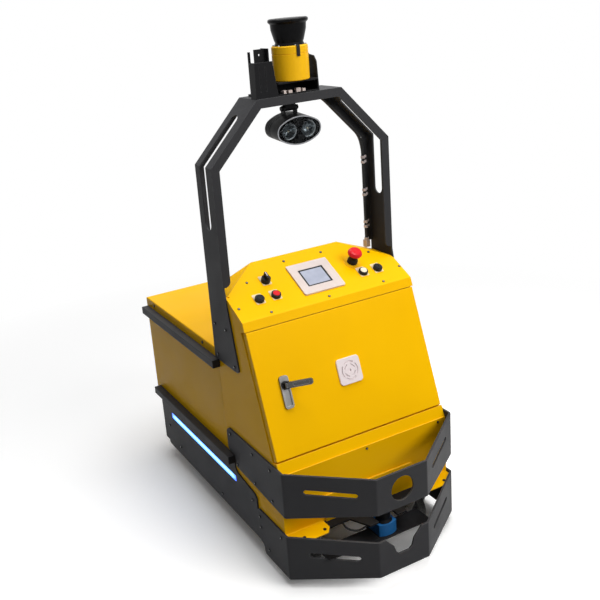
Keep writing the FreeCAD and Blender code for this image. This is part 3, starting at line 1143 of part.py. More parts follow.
def handle_lever():
    """The folding lever, flipped out and pointing away from the door's lock edge."""
    neck = 14.0
    bar = rounded_plate(LEVER_LENGTH, LEVER_WIDTH, 9, 7)
    bar.translate(V(LEVER_LENGTH / 2 + 4, 0, -4.5))
    hub = cylinder(V(0, -neck / 2, 0), V(0, 1, 0), 5.5, neck)
    link = box(0, 12, -neck / 2, neck / 2, -4.5, 4.5)
    lever = fuse([bar, hub, link])
    grip = rounded_plate(LEVER_LENGTH - 26, LEVER_WIDTH - 8, 4, 4)
    grip.translate(V(LEVER_LENGTH / 2 + 8, 0, 3))
    bore = cylinder(V(0, -20, 0), V(0, 1, 0), 2.5 + FIT, 40)
    clear = cylinder(V(0, -20, 0), V(0, 1, 0), 10, 40).cut(box(-20, 20, -neck / 2, neck / 2, -20, 20))
    lever = cut(lever, [grip, bore, clear])
    lever.rotate(V(0, 0, 0), V(0, 1, 0), -LEVER_TILT)
    lever.translate(V(HANDLE_U, SPINDLE_V, LEVER_AXIS_RISE))
    return at_door(lever)


def sounder():
    """A square sounder with rings of curved sound slots."""
    plate = rounded_plate(SOUNDER, SOUNDER, SOUNDER_RISE, 11)
    rims = [e for e in plate.Edges if e.BoundBox.ZMin > SOUNDER_RISE - 0.1]
    plate = plate.makeFillet(1.5, rims)
    slots = []
    for radius, width, gap in ((27, 4.0, 16), (18, 3.5, 22)):
        ring = cylinder(V(0, 0, 2), V(0, 0, 1), radius + width / 2, 10)
        ring = ring.cut(cylinder(V(0, 0, 1), V(0, 0, 1), radius - width / 2, 12))
        bars = box(-40, 40, -gap / 4, gap / 4, 0, 20)
        cross = bars.fuse(box(-gap / 4, gap / 4, -40, 40, 0, 20))
        cross.rotate(V(0, 0, 0), V(0, 0, 1), 45 if radius > 20 else 0)
        slots.append(ring.cut(cross))
    slots.append(cylinder(V(0, 0, 2), V(0, 0, 1), 5, 10))
    plate = cut(plate, slots)
    plate.translate(V(SOUNDER_U, SOUNDER_V, 0))
    return at_door(plate)


# ---------------------------------------------------------------- screws
def cover_screws():
    """Every screw head that shows on the covers."""
    heads = []
    for across, up in ((-HALF + 103, 12), (3, 12), (HALF - 97, 12), (-HALF + 17, 54.5), (HALF - 7, 54.5),
                       (-HALF + 89, 145), (HALF - 67, 145), (-HIP_TOP_X + 101, 194), (HIP_TOP_X - 77, 194)):
        heads.append(at_panel(screw(V(across, up, 0), V(0, 0, 1), 4, 2)))
    for x in (-HALF + 30, 0, HALF - 30):
        heads.append(screw(V(x, FASCIA_Y, DOOR_FOOT_Z - 20), V(0, -1, 0), 4, 2))
    for x in (HALF - 112, HALF - 42):
        for side in (-1, 1):
            heads.append(screw(V(side * x, FASCIA_Y - 40, FLOOR_Z + SHEET), V(0, 0, 1)))
    wing = HALF + BUMPER_SHEET
    skirt = HALF + SKIRT_SHEET
    arch = ARCH_HALF
    places = [(wing, y, z) for y, z in ((-343, 362), (-234, 362), (-88, 366), (-123, 273), (-238, 265), (-345, 260),
                                        (-250, 154), (-250, 116), (-295, 59), (-380, 154))]
    places += [(skirt, y, z) for y, z in ((378, 99.5), (28, 86), (-205, 188), (470, 150))]
    places += [(arch, y, z) for y, z in ((-133, 735), (-171, 628), (-60, 735), (-60, 632))]
    places += [(HALF, y, LID_Z - 14) for y in (68, REAR_Y - 76)]
    for x, y, z in places:
        for side in (-1, 1):
            heads.append(screw(V(side * x, y, z), V(side, 0, 0)))
    return Part.makeCompound(heads)


# ---------------------------------------------------------------- cable on the arch
def tube_along(points, radius):
    """Straight runs joined by tangent arcs, as large as their runs allow."""
    edges = []
    cursor = points[0]
    for before, corner, after in zip(points, points[1:], points[2:]):
        inward = corner - before
        outward = after - corner
        turn = inward.getAngle(outward)
        reach = 0.45 * min(inward.Length, outward.Length)
        start = corner - V(inward).normalize() * reach
        end = corner + V(outward).normalize() * reach
        bisector = (V(outward).normalize() - V(inward).normalize()).normalize()
        arc_radius = reach / math.tan(turn / 2)
        centre = corner + bisector * (arc_radius / math.cos(turn / 2))
        middle = centre - bisector * arc_radius
        edges.append(Part.LineSegment(cursor, start).toShape())
        edges.append(Part.Arc(start, middle, end).toShape())
        cursor = end
    edges.append(Part.LineSegment(cursor, points[-1]).toShape())
    path = Part.Wire(edges)
    direction = points[1] - points[0]
    ring = Part.Wire(Part.Circle(points[0], direction, radius).toShape())
    return path.makePipeShell([ring], True, True)


def cable_route():
    """The bundle's centre line: up the rear flange of the right-hand leg, over the bend, to the beam's middle."""
    x = ARCH_HALF - ARCH_FLANGE - CABLE_R - SLIDE
    y = ARCH_BACK_Y - 12
    bend = ARCH_BEND_Z
    top = ARCH_UNDER_Z
    return [V(x, y, ARCH_FLANGE_END_Z + 14), V(x, y, bend - 44), V(x - 12, y, bend + 2),
            V(ARCH_TOP_HALF - 2, y, top - 38), V(ARCH_TOP_HALF - 24, y - 2, top - 22), V(72, y - 2, top - 16),
            V(42, y - 1, top - 13), V(22, y, top + 2)]


def scanner_route():
    """The front scanner's lead: a hanging loop from its side up to the deck."""
    x = -SCANNER_WIDTH / 2
    y = SCANNER_FRONT_Y + 45
    z = SCANNER_Z
    return [V(x, y, z + 30), V(x - 18, y, z + 26), V(x - 40, y + 3, z + 17), V(x - 62, y + 10, z + 19),
            V(x - 82, y + 20, z + 32), V(x - 88, y + 26, DECK_Z)]


def sensor_cable():
    nav = tube_along(cable_route(), CABLE_R)
    scanner = tube_along(scanner_route(), SCANNER_CABLE_R)
    above_deck = box(-HALF, 0, SCANNER_FRONT_Y, FASCIA_Y, DECK_Z, SCANNER_TOP_Z)
    in_scanner = box(-SCANNER_WIDTH / 2, 0, SCANNER_FRONT_Y, FASCIA_Y, SCANNER_Z, SCANNER_TOP_Z)
    above_beam = box(0, HALF, ARCH_FRONT_Y, ARCH_BACK_Y, ARCH_UNDER_Z, ARCH_TOP_Z + CABLE_R)
    return Part.makeCompound([cut(nav, [above_beam]), cut(scanner, [above_deck, in_scanner])])


def cable_clips():
    clips = []
    flange_x = ARCH_HALF - ARCH_FLANGE
    route = cable_route()
    start = ARCH_FLANGE_END_Z + 35
    heights = []
    for pair in (start + 13, start + 120, start + 227):
        heights += [pair, pair + 16]
    for z in heights:
        ring = cylinder(V(route[0].x, route[0].y, z), V(0, 0, 1), CABLE_R + 2, 8)
        ring = ring.cut(cylinder(V(route[0].x, route[0].y, z - 1), V(0, 0, 1), CABLE_R + FIT, 10))
        tail = box(route[0].x - 3, flange_x + 12, ARCH_BACK_Y - ARCH_SHEET - 1.6, ARCH_BACK_Y - ARCH_SHEET, z, z + 8)
        bridge = box(route[0].x - 3, route[0].x + 3, route[0].y + CABLE_R + 0.1, ARCH_BACK_Y - ARCH_SHEET, z, z + 8)
        clips.append(fuse([ring, tail, bridge]))
    return Part.makeCompound(clips)


def cable_connector():
    """The plug under the bundle's lower end, and the small plugs at the navigation scanner's foot."""
    start = cable_route()[0]
    body = box(start.x - 9, start.x + 9, start.y - 9, start.y + 9, start.z - 31, start.z - 8)
    edges = [e for e in body.Edges if abs(e.tangentAt(e.FirstParameter).z) > 0.99]
    body = body.makeFillet(3, edges)
    nut = cylinder(V(start.x, start.y, start.z - 8), V(0, 0, 1), 7, 8)
    plugs = [fuse([body, nut])]
    seat = ARCH_TOP_Z + NAV_CHEEK
    front = NAV_Y - 38
    for x, width, rise in ((-48, 8, 9), (-32, 12, 8), (-6, 14, 11), (14, 10, 8)):
        plug = box(x, x + width, front + 4, front + 14, seat, seat + rise)
        boot = cylinder(V(x + width / 2, front + 14, seat + rise / 2), V(0, 1, 0), 3, 12)
        plugs.append(fuse([plug, boot]))
    return Part.makeCompound(plugs)


# ---------------------------------------------------------------- the whole robot
def build():
    os.makedirs("parts", exist_ok=True)
    fork = caster_fork()
    wheel = caster_wheel()
    hub = drive_hub()
    tyre = drive_tyre()
    skirt = skirt_left()
    pieces = {
        "chassis_tray": chassis_tray(),
        "front_fascia": front_fascia(),
        "front_deck": front_deck(),
        "console_shell": console_shell(),
        "control_panel": control_panel(),
        "cover_screws": cover_screws(),
        "rear_box": rear_box(),
        "rear_lid": rear_lid(),
        "rails_upper": rails_upper(),
        "rails_lower": rails_lower(),
        "skirt_left": skirt,
        "skirt_right": mirrored(skirt),
        "light_strips": light_strips(),
        "bumper_upper": bumper_upper(),
        "bumper_lower": bumper_lower(),
        "mast_arch": mast_arch(),
        "sensor_cable": sensor_cable(),
        "cable_clips": cable_clips(),
        "cable_connector": cable_connector(),
        "nav_cradle": nav_cradle(),
        "nav_front_plates": nav_front_plates(),
        "nav_body": nav_body(),
        "nav_window": nav_window(),
        "nav_mirror": nav_mirror(),
        "lamp_bracket": lamp_bracket(),
        "lamp_housing": lamp_housing(),
        "lamp_lenses": lamp_lenses(),
        "scanner_bracket": scanner_bracket(),
        "scanner_base": scanner_base(),
        "scanner_head": scanner_head(),
        "estop_body": estop_body(),
        "estop_legend": estop_legend(),
        "estop_stem": estop_stem(),
        "estop_cap": estop_cap(),
        "button_bodies": button_bodies(),
        "legend_plates": legend_plates(),
        "button_black": button_cap("black"),
        "button_red": button_cap("red"),
        "button_white": button_cap("white"),
        "selector_knob": selector_knob(),
        "key_barrel": key_barrel(),
        "hmi_bezel": hmi_bezel(),
        "hmi_screen": hmi_screen(),
        "battery_pack": battery_pack(),
        "controller_unit": controller_unit(),
        "drive_gearmotors": drive_gearmotors(),
        "caster_mounts": caster_mounts(),
        "caster_fork_left": fork,
        "caster_fork_right": mirrored(fork),
        "caster_wheel_left": wheel,
        "caster_wheel_right": mirrored(wheel),
        "drive_hub_left": hub,
        "drive_hub_right": mirrored(hub),
        "drive_tyre_left": tyre,
        "drive_tyre_right": mirrored(tyre),
        "door_panel": door_panel(),
        "sounder": sounder(),
        "handle_plate": handle_plate(),
        "handle_spindle": handle_spindle(),
        "handle_lever": handle_lever(),
    }
    for name, shape in pieces.items():
        save(name, shape)


build()
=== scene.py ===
"""An autonomous mobile robot dressed for the studio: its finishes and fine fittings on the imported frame.

The frame brings every rigid piece. This script gives each piece the finish that its maker would give it, adds
the trim that is too fine for the frame, and sets the robot on a pale studio floor. Lengths are in metres, and
angles in radians, where nothing else is said.
"""

import json
import logging
import math
from collections.abc import Callable
from dataclasses import dataclass, field
from enum import Enum
from typing import Any

import bmesh
import bpy
from mathutils import Matrix, Vector

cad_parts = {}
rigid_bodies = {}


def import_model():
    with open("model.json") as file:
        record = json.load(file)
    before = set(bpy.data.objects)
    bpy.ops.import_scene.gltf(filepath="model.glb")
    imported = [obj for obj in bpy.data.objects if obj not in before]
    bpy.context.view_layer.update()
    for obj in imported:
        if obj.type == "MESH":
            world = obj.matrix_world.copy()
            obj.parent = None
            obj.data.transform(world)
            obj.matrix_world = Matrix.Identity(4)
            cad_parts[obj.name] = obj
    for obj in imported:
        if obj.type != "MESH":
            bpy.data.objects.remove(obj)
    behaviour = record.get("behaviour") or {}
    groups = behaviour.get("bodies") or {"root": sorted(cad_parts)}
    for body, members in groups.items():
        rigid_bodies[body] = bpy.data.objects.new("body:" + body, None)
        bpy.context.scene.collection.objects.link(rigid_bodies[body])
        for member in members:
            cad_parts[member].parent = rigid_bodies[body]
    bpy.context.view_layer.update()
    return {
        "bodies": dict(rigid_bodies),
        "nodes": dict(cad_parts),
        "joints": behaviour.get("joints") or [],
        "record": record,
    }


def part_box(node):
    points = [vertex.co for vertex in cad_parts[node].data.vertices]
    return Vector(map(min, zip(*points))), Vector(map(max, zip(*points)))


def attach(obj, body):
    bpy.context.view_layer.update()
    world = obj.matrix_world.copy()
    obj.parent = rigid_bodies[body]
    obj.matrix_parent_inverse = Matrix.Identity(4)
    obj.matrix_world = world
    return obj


log = logging.getLogger("mobile_robot")

Colour = tuple[float, float, float]
Socket = bpy.types.NodeSocket
Turn = tuple[float, float, float]
Value = Socket | float | Colour | Vector
Material = bpy.types.Material
Mesh = bmesh.types.BMesh
Face = bmesh.types.BMFace
Point = bmesh.types.BMVert

UP = Vector((0.0, 0.0, 1.0))
WELD = 1e-6
"""Points of a copied node that are closer than this are one point."""


def fixed(x: float, y: float, z: float) -> Vector:
    """A vector as the default of a dataclass field."""
    return field(default_factory=lambda: Vector((x, y, z)))


# ---------------------------------------- node sheets
class Nodes:
    """Lays out shader nodes, so that a finish reads as a short list of steps."""

    def __init__(self, tree: bpy.types.NodeTree) -> None:
        """Starts on an emptied node tree.

        Args:
            tree: The tree.
        """
        self.tree = tree
        tree.nodes.clear()

    def put(self, target: Socket, value: Value) -> None:
        """Feeds an input from a socket, or sets it to a constant.

        Args:
            target: The input socket.
            value: An output socket, a number, a colour or a vector.
        """
        if isinstance(value, Socket):
            self.tree.links.new(value, target)
        elif isinstance(value, tuple) and len(target.default_value) == 4:
            target.default_value = (*value, 1.0)
        else:
            target.default_value = value

    def add(self, kind: str, inputs: dict[int | str, Value] | None = None,
            **settings: str | int) -> bpy.types.bpy_prop_collection:
        """Adds a node.

        Args:
            kind: Blender's name of the node, without its first word.
            inputs: What goes into its inputs, by name or place.
            **settings: Its own settings.

        Returns:
            Its outputs.
        """
        node = self.tree.nodes.new(f"ShaderNode{kind}")
        for name, setting in settings.items():
            setattr(node, name, setting)
        for place, value in (inputs or {}).items():
            self.put(node.inputs[place], value)
        return node.outputs

    def maths(self, operation: str, first: Socket | float, second: Socket | float = 0.0) -> Socket:
        """One step of sums, by Blender's name of the operation."""
        return self.add("Math", {0: first, 1: second}, operation=operation)[0]

    def times(self, first: Socket | float, second: Socket | float) -> Socket:
        """One value times another."""
        return self.maths("MULTIPLY", first, second)

    def glow(self, kind: str, strength: Socket | float, colour: Colour = (1.0, 1.0, 1.0)) -> Socket:
        """An Emission or a Background of one colour."""
        return self.add(kind, {"Color": colour, "Strength": strength})[0]

    def looked_at(self) -> Socket:
        """Tells rays that look at a surface from those that only carry its light.

        Returns:
            A factor of 1 for camera, glossy and transmitted rays, and 0 for the rest.
        """
        ray = self.add("LightPath")
        looks = self.maths("ADD", ray["Is Camera Ray"], ray["Is Glossy Ray"])
        return self.maths("MINIMUM", self.maths("ADD", looks, ray["Is Transmission Ray"]), 1.0)


class NodeSheet(Nodes):
    """The nodes of one material with a Principled shader."""

    def __init__(self, name: str) -> None:
        """Makes the material.

        Args:
            name: Its name.
        """
        self.material = bpy.data.materials.new(name)
        self.material.use_nodes = True
        super().__init__(self.material.node_tree)
        self.shader = self.tree.nodes.new("ShaderNodeBsdfPrincipled")
        self.surface = self.tree.nodes.new("ShaderNodeOutputMaterial").inputs["Surface"]
        self.put(self.surface, self.shader.outputs["BSDF"])
        self.place = self.add("TexCoord")["Object"]

    def set(self, **inputs: Value) -> None:
        """Sets inputs of the Principled shader; an underscore in a name stands for a space."""
        for name, value in inputs.items():
            self.put(self.shader.inputs[name.replace("_", " ")], value)

    def centred(self, centre: Vector = Vector(), turn: Turn = (0.0, 0.0, 0.0),
                stretch: Turn = (1.0, 1.0, 1.0)) -> Socket:
        """Coordinates measured from a point of the object, turned in radians and stretched."""
        shifted = self.add("VectorMath", {0: self.place, 1: centre}, operation="SUBTRACT")[0]
        return self.add("Mapping", {"Vector": shifted, "Rotation": turn, "Scale": stretch})[0]

    def noise(self, scale: float, detail: float = 3.0, rough: float = 0.55,
              place: Socket | None = None) -> Socket:
        """A noise from 0 to 1, by its cells per metre, its octaves and how strong the finer ones are."""
        return self.add("TexNoise", {"Vector": place or self.place, "Scale": scale, "Detail": detail,
                                     "Roughness": rough})["Fac"]

    def cells(self, scale: float) -> Socket:
        """Distance to the nearest cell's centre, for spangle, by the cells per metre."""
        return self.add("TexVoronoi", {"Vector": self.place, "Scale": scale})["Distance"]

    def spread(self, value: Socket, low: float, high: float, to_low: float = 0.0,
               to_high: float = 1.0) -> Socket:
        """Maps a value's range to another, clamped."""
        return self.add("MapRange", {"Value": value, "From Min": low, "From Max": high, "To Min": to_low,
                                     "To Max": to_high})["Result"]

    def mixed(self, share: Socket | float, first: Socket | Colour, second: Socket | Colour) -> Socket:
        """Mixes two colours, by the second one's share."""
        return self.add("Mix", {0: share, 6: first, 7: second}, data_type="RGBA")[2]

    def axes(self, vector: Socket) -> tuple[Socket, Socket, Socket]:
        """Splits a vector in its x, y and z."""
        return tuple(self.add("SeparateXYZ", {0: vector}))

    def length(self, vector: Socket) -> Socket:
        """The length of a vector."""
        return self.add("VectorMath", {0: vector}, operation="LENGTH")["Value"]

    def softened(self, radius: float) -> Socket:
        """A normal that rounds the solid's edges."""
        return self.add("Bevel", {"Radius": radius}, samples=4)["Normal"]

    def edges(self, radius: float, sharpness: float = 6.0) -> Socket:
        """A mask that is 1 along outer and inner edges and fades within the radius.

        Args:
            radius: How far from an edge it reaches.
            sharpness: How fast it rises.

        Returns:
            The mask socket.
        """
        flat = self.add("NewGeometry")["Normal"]
        even = self.add("VectorMath", {0: self.softened(radius), 1: flat}, operation="DOT_PRODUCT")["Value"]
        return self.spread(self.maths("SUBTRACT", 1.0, even), 0.0, 1.0 / sharpness)

    def upward(self) -> Socket:
        """How far the surface faces up, from 0 to 1."""
        return self.spread(self.axes(self.add("NewGeometry")["Normal"])[2], 0.2, 1.0)

    def bump(self, height: Socket, depth: float, strength: float, rounding: float = 0.0) -> Socket:
        """A bumped normal.

        Args:
            height: The height field, from 0 to 1.
            depth: What a height of 1 stands for.
            strength: Blender's strength, from 0 to 1.
            rounding: Radius to which edges are softened as well.

        Returns:
            The normal socket.
        """
        base = {"Normal": self.softened(rounding)} if rounding else {}
        return self.add("Bump", {"Strength": strength, "Distance": depth, "Height": height, **base})["Normal"]


# ---------------------------------------- finishes
@dataclass(frozen=True)
class Finish:
    """What every finish has: a name, and nodes that its own class lays out.

    Attributes:
        name: The material's name.
        edge_reach: How far from an edge the painted edge highlight reaches.
        rounding: Radius to which edges are softened.
    """

    name: str
    edge_reach: float = field(default=0.001, kw_only=True)
    rounding: float = field(default=0.0005, kw_only=True)

    def material(self) -> Material:
        """Builds the node material.

        Returns:
            The material.
        """
        sheet = NodeSheet(self.name)
        self.lay(sheet)
        return sheet.material

    def lay(self, sheet: NodeSheet) -> None:
        """Lays out the finish's nodes.

        Args:
            sheet: The material's sheet.
        """
        raise NotImplementedError


@dataclass(frozen=True)
class PowderCoat(Finish):
    """Baked powder paint on sheet steel: orange peel, a slow drift of tone, and a painted highlight on the
    edges.

    Attributes:
        colour: The paint.
        drift: What the paint drifts to in broad soft patches.
        edge: The painted highlight along edges, a lighter tone standing for light caught there.
        edge_highlight_share: How strongly the edges take the painted highlight.
        roughness: Mean roughness.
        peel: Lumps of the orange peel per metre.
        peel_depth: Their height.
        gloss: Strength of the plain gloss.
        upward_paling: How far upward faces are paled toward warm grey, in patches.
    """

    colour: Colour
    drift: Colour
    edge: Colour
    edge_highlight_share: float = 0.5
    roughness: float = 0.32
    peel: float = 420.0
    peel_depth: float = 0.00012
    gloss: float = 0.12
    upward_paling: float = 0.0
    edge_reach: float = field(default=0.0022, kw_only=True)
    rounding: float = field(default=0.0012, kw_only=True)

    def lay(self, sheet: NodeSheet) -> None:
        """Lays out the finish's nodes.

        Args:
            sheet: The material's sheet.
        """
        broad = sheet.spread(sheet.noise(3.1, 3.0), 0.3, 0.7)
        paint = sheet.mixed(broad, self.colour, self.drift)
        speck = sheet.spread(sheet.noise(900.0, 2.0), 0.55, 0.8, 0.0, 0.18)
        paint = sheet.mixed(speck, paint, self.drift)
        # painted highlight: the edges are mixed, patchily, toward the lighter edge tone, for light caught on
        # them
        rim = sheet.edges(self.edge_reach)
        worn = sheet.times(rim, sheet.spread(sheet.noise(60.0, 4.0), 0.35, 0.65, 0.35, 1.0))
        paint = sheet.mixed(sheet.times(worn, self.edge_highlight_share), paint, self.edge)
        # upward faces are paled in patches toward warm grey, which makes the tops lighter
        if self.upward_paling:
            patches = sheet.spread(sheet.noise(38.0, 5.0, 0.7), 0.35, 0.8)
            upward_patches = sheet.times(sheet.upward(), patches)
            paint = sheet.mixed(sheet.times(upward_patches, self.upward_paling), paint, (0.32, 0.31, 0.29))
        patchy = sheet.noise(7.0, 4.0, 0.6)
        rough = sheet.spread(patchy, 0.3, 0.7, self.roughness - 0.05, self.roughness + 0.06)
        lumps = sheet.noise(self.peel, 2.0, 0.5)
        sheet.set(Base_Color=paint, Roughness=rough, IOR=1.5, Specular_IOR_Level=self.gloss,
                  Normal=sheet.bump(lumps, self.peel_depth, 0.35, self.rounding))


@dataclass(frozen=True)
class PlatedMetal(Finish):
    """Zinc plate, satin aluminium or cast alloy, told apart by spangle, brushing and pitting.

    Attributes:
        colour: The metal.
        shade: Its darker patches.
        roughness: Mean roughness.
        spangle: Crystal size of the plating, cells per metre.
        pitting: Depth of the surface grain.
        brushed: Stretch of the grain along each axis.
        anisotropy: Strength of the brushed highlight.
        metallic: 1 for bare metal, less for a painted casting.
    """

    colour: Colour
    shade: Colour
    roughness: float = 0.35
    spangle: float = 160.0
    pitting: float = 0.00004
    brushed: Turn = (1.0, 1.0, 1.0)
    anisotropy: float = 0.0
    metallic: float = 1.0
    edge_reach: float = field(default=0.0012, kw_only=True)
    rounding: float = field(default=0.0006, kw_only=True)

    def lay(self, sheet: NodeSheet) -> None:
        """Lays out the finish's nodes.

        Args:
            sheet: The material's sheet.
        """
        grain = sheet.noise(700.0, 3.0, 0.6, sheet.centred(stretch=self.brushed))
        flakes = sheet.spread(sheet.cells(self.spangle), 0.1, 0.7)
        tone = sheet.maths("ADD", sheet.times(flakes, 0.5), sheet.times(grain, 0.5))
        metal = sheet.mixed(tone, self.shade, self.colour)
        # painted highlight: the edges are lightened toward pale grey, for light caught on them
        rim = sheet.times(sheet.edges(self.edge_reach), 0.35)
        metal = sheet.mixed(rim, metal, (0.86, 0.86, 0.87))
        patchy = sheet.noise(45.0, 4.0)
        rough = sheet.spread(patchy, 0.3, 0.7, self.roughness - 0.07, self.roughness + 0.1)
        sheet.set(Base_Color=metal, Metallic=self.metallic, Roughness=rough, Anisotropic=self.anisotropy,
                  Normal=sheet.bump(grain, self.pitting, 0.4, self.rounding))


@dataclass(frozen=True)
class MouldedPlastic(Finish):
    """Injection-moulded plastic: a fine spark-eroded grain, a painted highlight on the corners and faint flow
    in the colour.

    Attributes:
        colour: The plastic.
        shade: What it drifts to.
        roughness: Mean roughness.
        grain: Grain of the mould per metre.
        grain_depth: Its depth.
        corner_highlight: The lighter tone painted on the corners as a highlight.
        coat: Weight of a glossy skin.
        gloss: Strength of the plain gloss.
    """

    colour: Colour
    shade: Colour
    roughness: float = 0.42
    grain: float = 1500.0
    grain_depth: float = 0.00005
    corner_highlight: Colour = (0.2, 0.2, 0.2)
    coat: float = 0.0
    gloss: float = 0.3

    def lay(self, sheet: NodeSheet) -> None:
        """Lays out the finish's nodes.

        Args:
            sheet: The material's sheet.
        """
        flow = sheet.spread(sheet.noise(22.0, 4.0, 0.6), 0.3, 0.7)
        body = sheet.mixed(flow, self.colour, self.shade)
        # painted highlight: the corners are mixed toward the lighter corner tone
        rim = sheet.times(sheet.edges(self.edge_reach), 0.3)
        body = sheet.mixed(rim, body, self.corner_highlight)
        patchy = sheet.noise(90.0, 3.0)
        rough = sheet.spread(patchy, 0.3, 0.7, self.roughness - 0.06, self.roughness + 0.08)
        grain = sheet.noise(self.grain, 1.0)
        sheet.set(Base_Color=body, Roughness=rough, Coat_Weight=self.coat, Coat_Roughness=0.08, IOR=1.49,
                  Specular_IOR_Level=self.gloss,
                  Normal=sheet.bump(grain, self.grain_depth, 0.4, self.rounding))


class TyreSide(Enum):
    """Which wheels a rubber finish is for."""

    CASTER = "caster"
    DRIVE = "drive"


@dataclass(frozen=True)
class WheelRubber(Finish):
    """Wheel rubber with a scuffed tread and, on a caster, a grey nylon centre moulded in one with it.

    Attributes:
        kind: Caster or drive wheel.
        axle: A point of the wheel's axle.
        hub_radius: Where the centre ends.
        tread_radius: Radius of the tread.
        scuff: How far into the tread its scuffed band reaches.
    """

    kind: TyreSide
    axle: Vector
    hub_radius: float
    tread_radius: float
    scuff: float = 0.004
    rounding: float = field(default=0.001, kw_only=True)

    def lay(self, sheet: NodeSheet) -> None:
        """Lays out the finish's nodes.

        Args:
            sheet: The material's sheet.
        """
        radius = sheet.length(sheet.centred(self.axle, stretch=(0.0, 1.0, 1.0)))
        rubber = sheet.mixed(sheet.spread(sheet.noise(55.0, 5.0, 0.7), 0.35, 0.7), (0.022, 0.022, 0.023),
                             (0.06, 0.058, 0.055))
        scuffed = sheet.spread(radius, self.tread_radius - self.scuff, self.tread_radius - 0.001)
        patches = sheet.spread(sheet.noise(240.0, 4.0, 0.7), 0.4, 0.75, 0.0, 0.7)
        grit = sheet.times(scuffed, patches)
        rubber = sheet.mixed(grit, rubber, (0.2, 0.19, 0.175))
        in_rubber = sheet.spread(radius, self.hub_radius, self.hub_radius + 0.0006)
        centre = sheet.mixed(sheet.noise(35.0), (0.23, 0.24, 0.25), (0.3, 0.31, 0.32))
        colour = sheet.mixed(in_rubber, centre, rubber) if self.kind is TyreSide.CASTER else rubber
        ribs = sheet.noise(900.0, 2.0)
        sheet.set(Base_Color=colour, Roughness=sheet.spread(sheet.noise(80.0), 0.3, 0.7, 0.55, 0.8),
                  Normal=sheet.bump(ribs, 0.0001, 0.5, self.rounding))


@dataclass(frozen=True)
class SmokedGlass(Finish):
    """Smoked polycarbonate or a tinted lens, with a faint body colour and wipe marks.

    Attributes:
        colour: The body colour.
        roughness: Mean roughness.
        transmission: How clear it is.
        gloss: Strength of the plain gloss.
        skin: Weight of a hard clear skin.
        bend: Its index of refraction.
    """

    colour: Colour
    roughness: float = 0.12
    transmission: float = 0.0
    gloss: float = 0.5
    skin: float = 0.4
    bend: float = 1.58
    rounding: float = field(default=0.0007, kw_only=True)

    def lay(self, sheet: NodeSheet) -> None:
        """Lays out the finish's nodes.

        Args:
            sheet: The material's sheet.
        """
        wipe = sheet.noise(30.0, 5.0, 0.65, sheet.centred(stretch=(1.0, 1.0, 0.3)))
        smeared = tuple(part * 1.6 + 0.004 for part in self.colour)
        body = sheet.mixed(sheet.spread(wipe, 0.35, 0.7), self.colour, smeared)
        rough = sheet.spread(wipe, 0.35, 0.75, self.roughness, self.roughness + 0.14)
        fine = sheet.noise(400.0, 2.0)
        sheet.set(Base_Color=body, Roughness=rough, IOR=self.bend, Transmission_Weight=self.transmission,
                  Specular_IOR_Level=self.gloss, Coat_Weight=self.skin, Coat_Roughness=0.05,
                  Normal=sheet.bump(fine, 0.00002, 0.3, self.rounding))


@dataclass(frozen=True)
class LightStrip(Finish):
    """The diffuser of a light strip: a blue-white core that cools to saturated blue at its ends.

    Attributes:
        centre: The middle of the strip in y and z.
        half_length: Half of its length.
        core: Colour beside the row of diodes.
        row: Colour of the row itself.
        milk: Colour of the pale clouds in the diffuser.
        tail: Colour at the two ends.
        power: Emission strength.
    """

    centre: Vector
    half_length: float
    core: Colour = (0.05, 0.22, 1.0)
    row: Colour = (0.35, 0.85, 1.0)
    milk: Colour = (0.3, 0.7, 1.0)
    tail: Colour = (0.01, 0.06, 0.85)
    power: float = 3.2

    def lay(self, sheet: NodeSheet) -> None:
        """Lays out the finish's nodes.

        Args:
            sheet: The material's sheet.
        """
        _, along, high = sheet.axes(sheet.centred(self.centre))
        end = sheet.spread(sheet.maths("ABSOLUTE", along), self.half_length - 0.03, self.half_length - 0.004)
        clouds = sheet.spread(sheet.noise(120.0, 2.0), 0.3, 0.7, 0.0, 0.12)
        on_row = sheet.spread(sheet.maths("ABSOLUTE", high), 0.0005, 0.0075, 0.55, 0.0)
        glow = sheet.mixed(on_row, self.core, self.row)
        glow = sheet.mixed(end, glow, self.tail)
        glow = sheet.mixed(clouds, glow, self.milk)
        sheet.set(Base_Color=(0.5, 0.75, 0.85), Roughness=0.3, Emission_Color=glow,
                  Emission_Strength=self.power, Normal=sheet.bump(sheet.noise(300.0), 0.00005, 0.3))


@dataclass(frozen=True)
class PanelDisplay(Finish):
    """A small operator screen: a grey-blue picture with a black edge, under a matt cover.

    Attributes:
        centre: Middle of the screen.
        slope: The panel's slope.
        half_width: Half of the screen's width.
        half_length: Half of its length up the slope.
        edge: Width of the black edge.
        power: Emission strength.
    """

    centre: Vector
    slope: float
    half_width: float
    half_length: float
    edge: float = 0.0062
    power: float = 0.45

    def lay(self, sheet: NodeSheet) -> None:
        """Lays out the finish's nodes.

        Args:
            sheet: The material's sheet.
        """
        across, up, _ = sheet.axes(sheet.centred(self.centre, turn=(-self.slope, 0.0, 0.0)))
        sides = []
        for axis, half in ((across, self.half_width), (up, self.half_length)):
            inner = half - self.edge
            sides.append(sheet.spread(sheet.maths("ABSOLUTE", axis), inner, inner + 0.0006))
        border = sheet.maths("MAXIMUM", *sides)
        haze = sheet.noise(26.0, 3.0)
        picture = sheet.mixed(sheet.spread(haze, 0.35, 0.65), (0.33, 0.35, 0.44), (0.56, 0.57, 0.68))
        field_share = sheet.spread(up, -self.half_length, self.half_length, 0.0, 0.55)
        picture = sheet.mixed(field_share, picture, (0.62, 0.63, 0.72))
        shown = sheet.mixed(border, picture, (0.004, 0.004, 0.006))
        dim = sheet.mixed(border, (0.2, 0.22, 0.28), (0.004, 0.004, 0.005))
        sheet.set(Base_Color=dim, Roughness=0.28, Emission_Color=shown, Emission_Strength=self.power,
                  Coat_Weight=0.1, Coat_Roughness=0.15, Specular_IOR_Level=0.2,
                  Normal=sheet.bump(sheet.noise(1200.0, 1.0), 0.00001, 0.2))


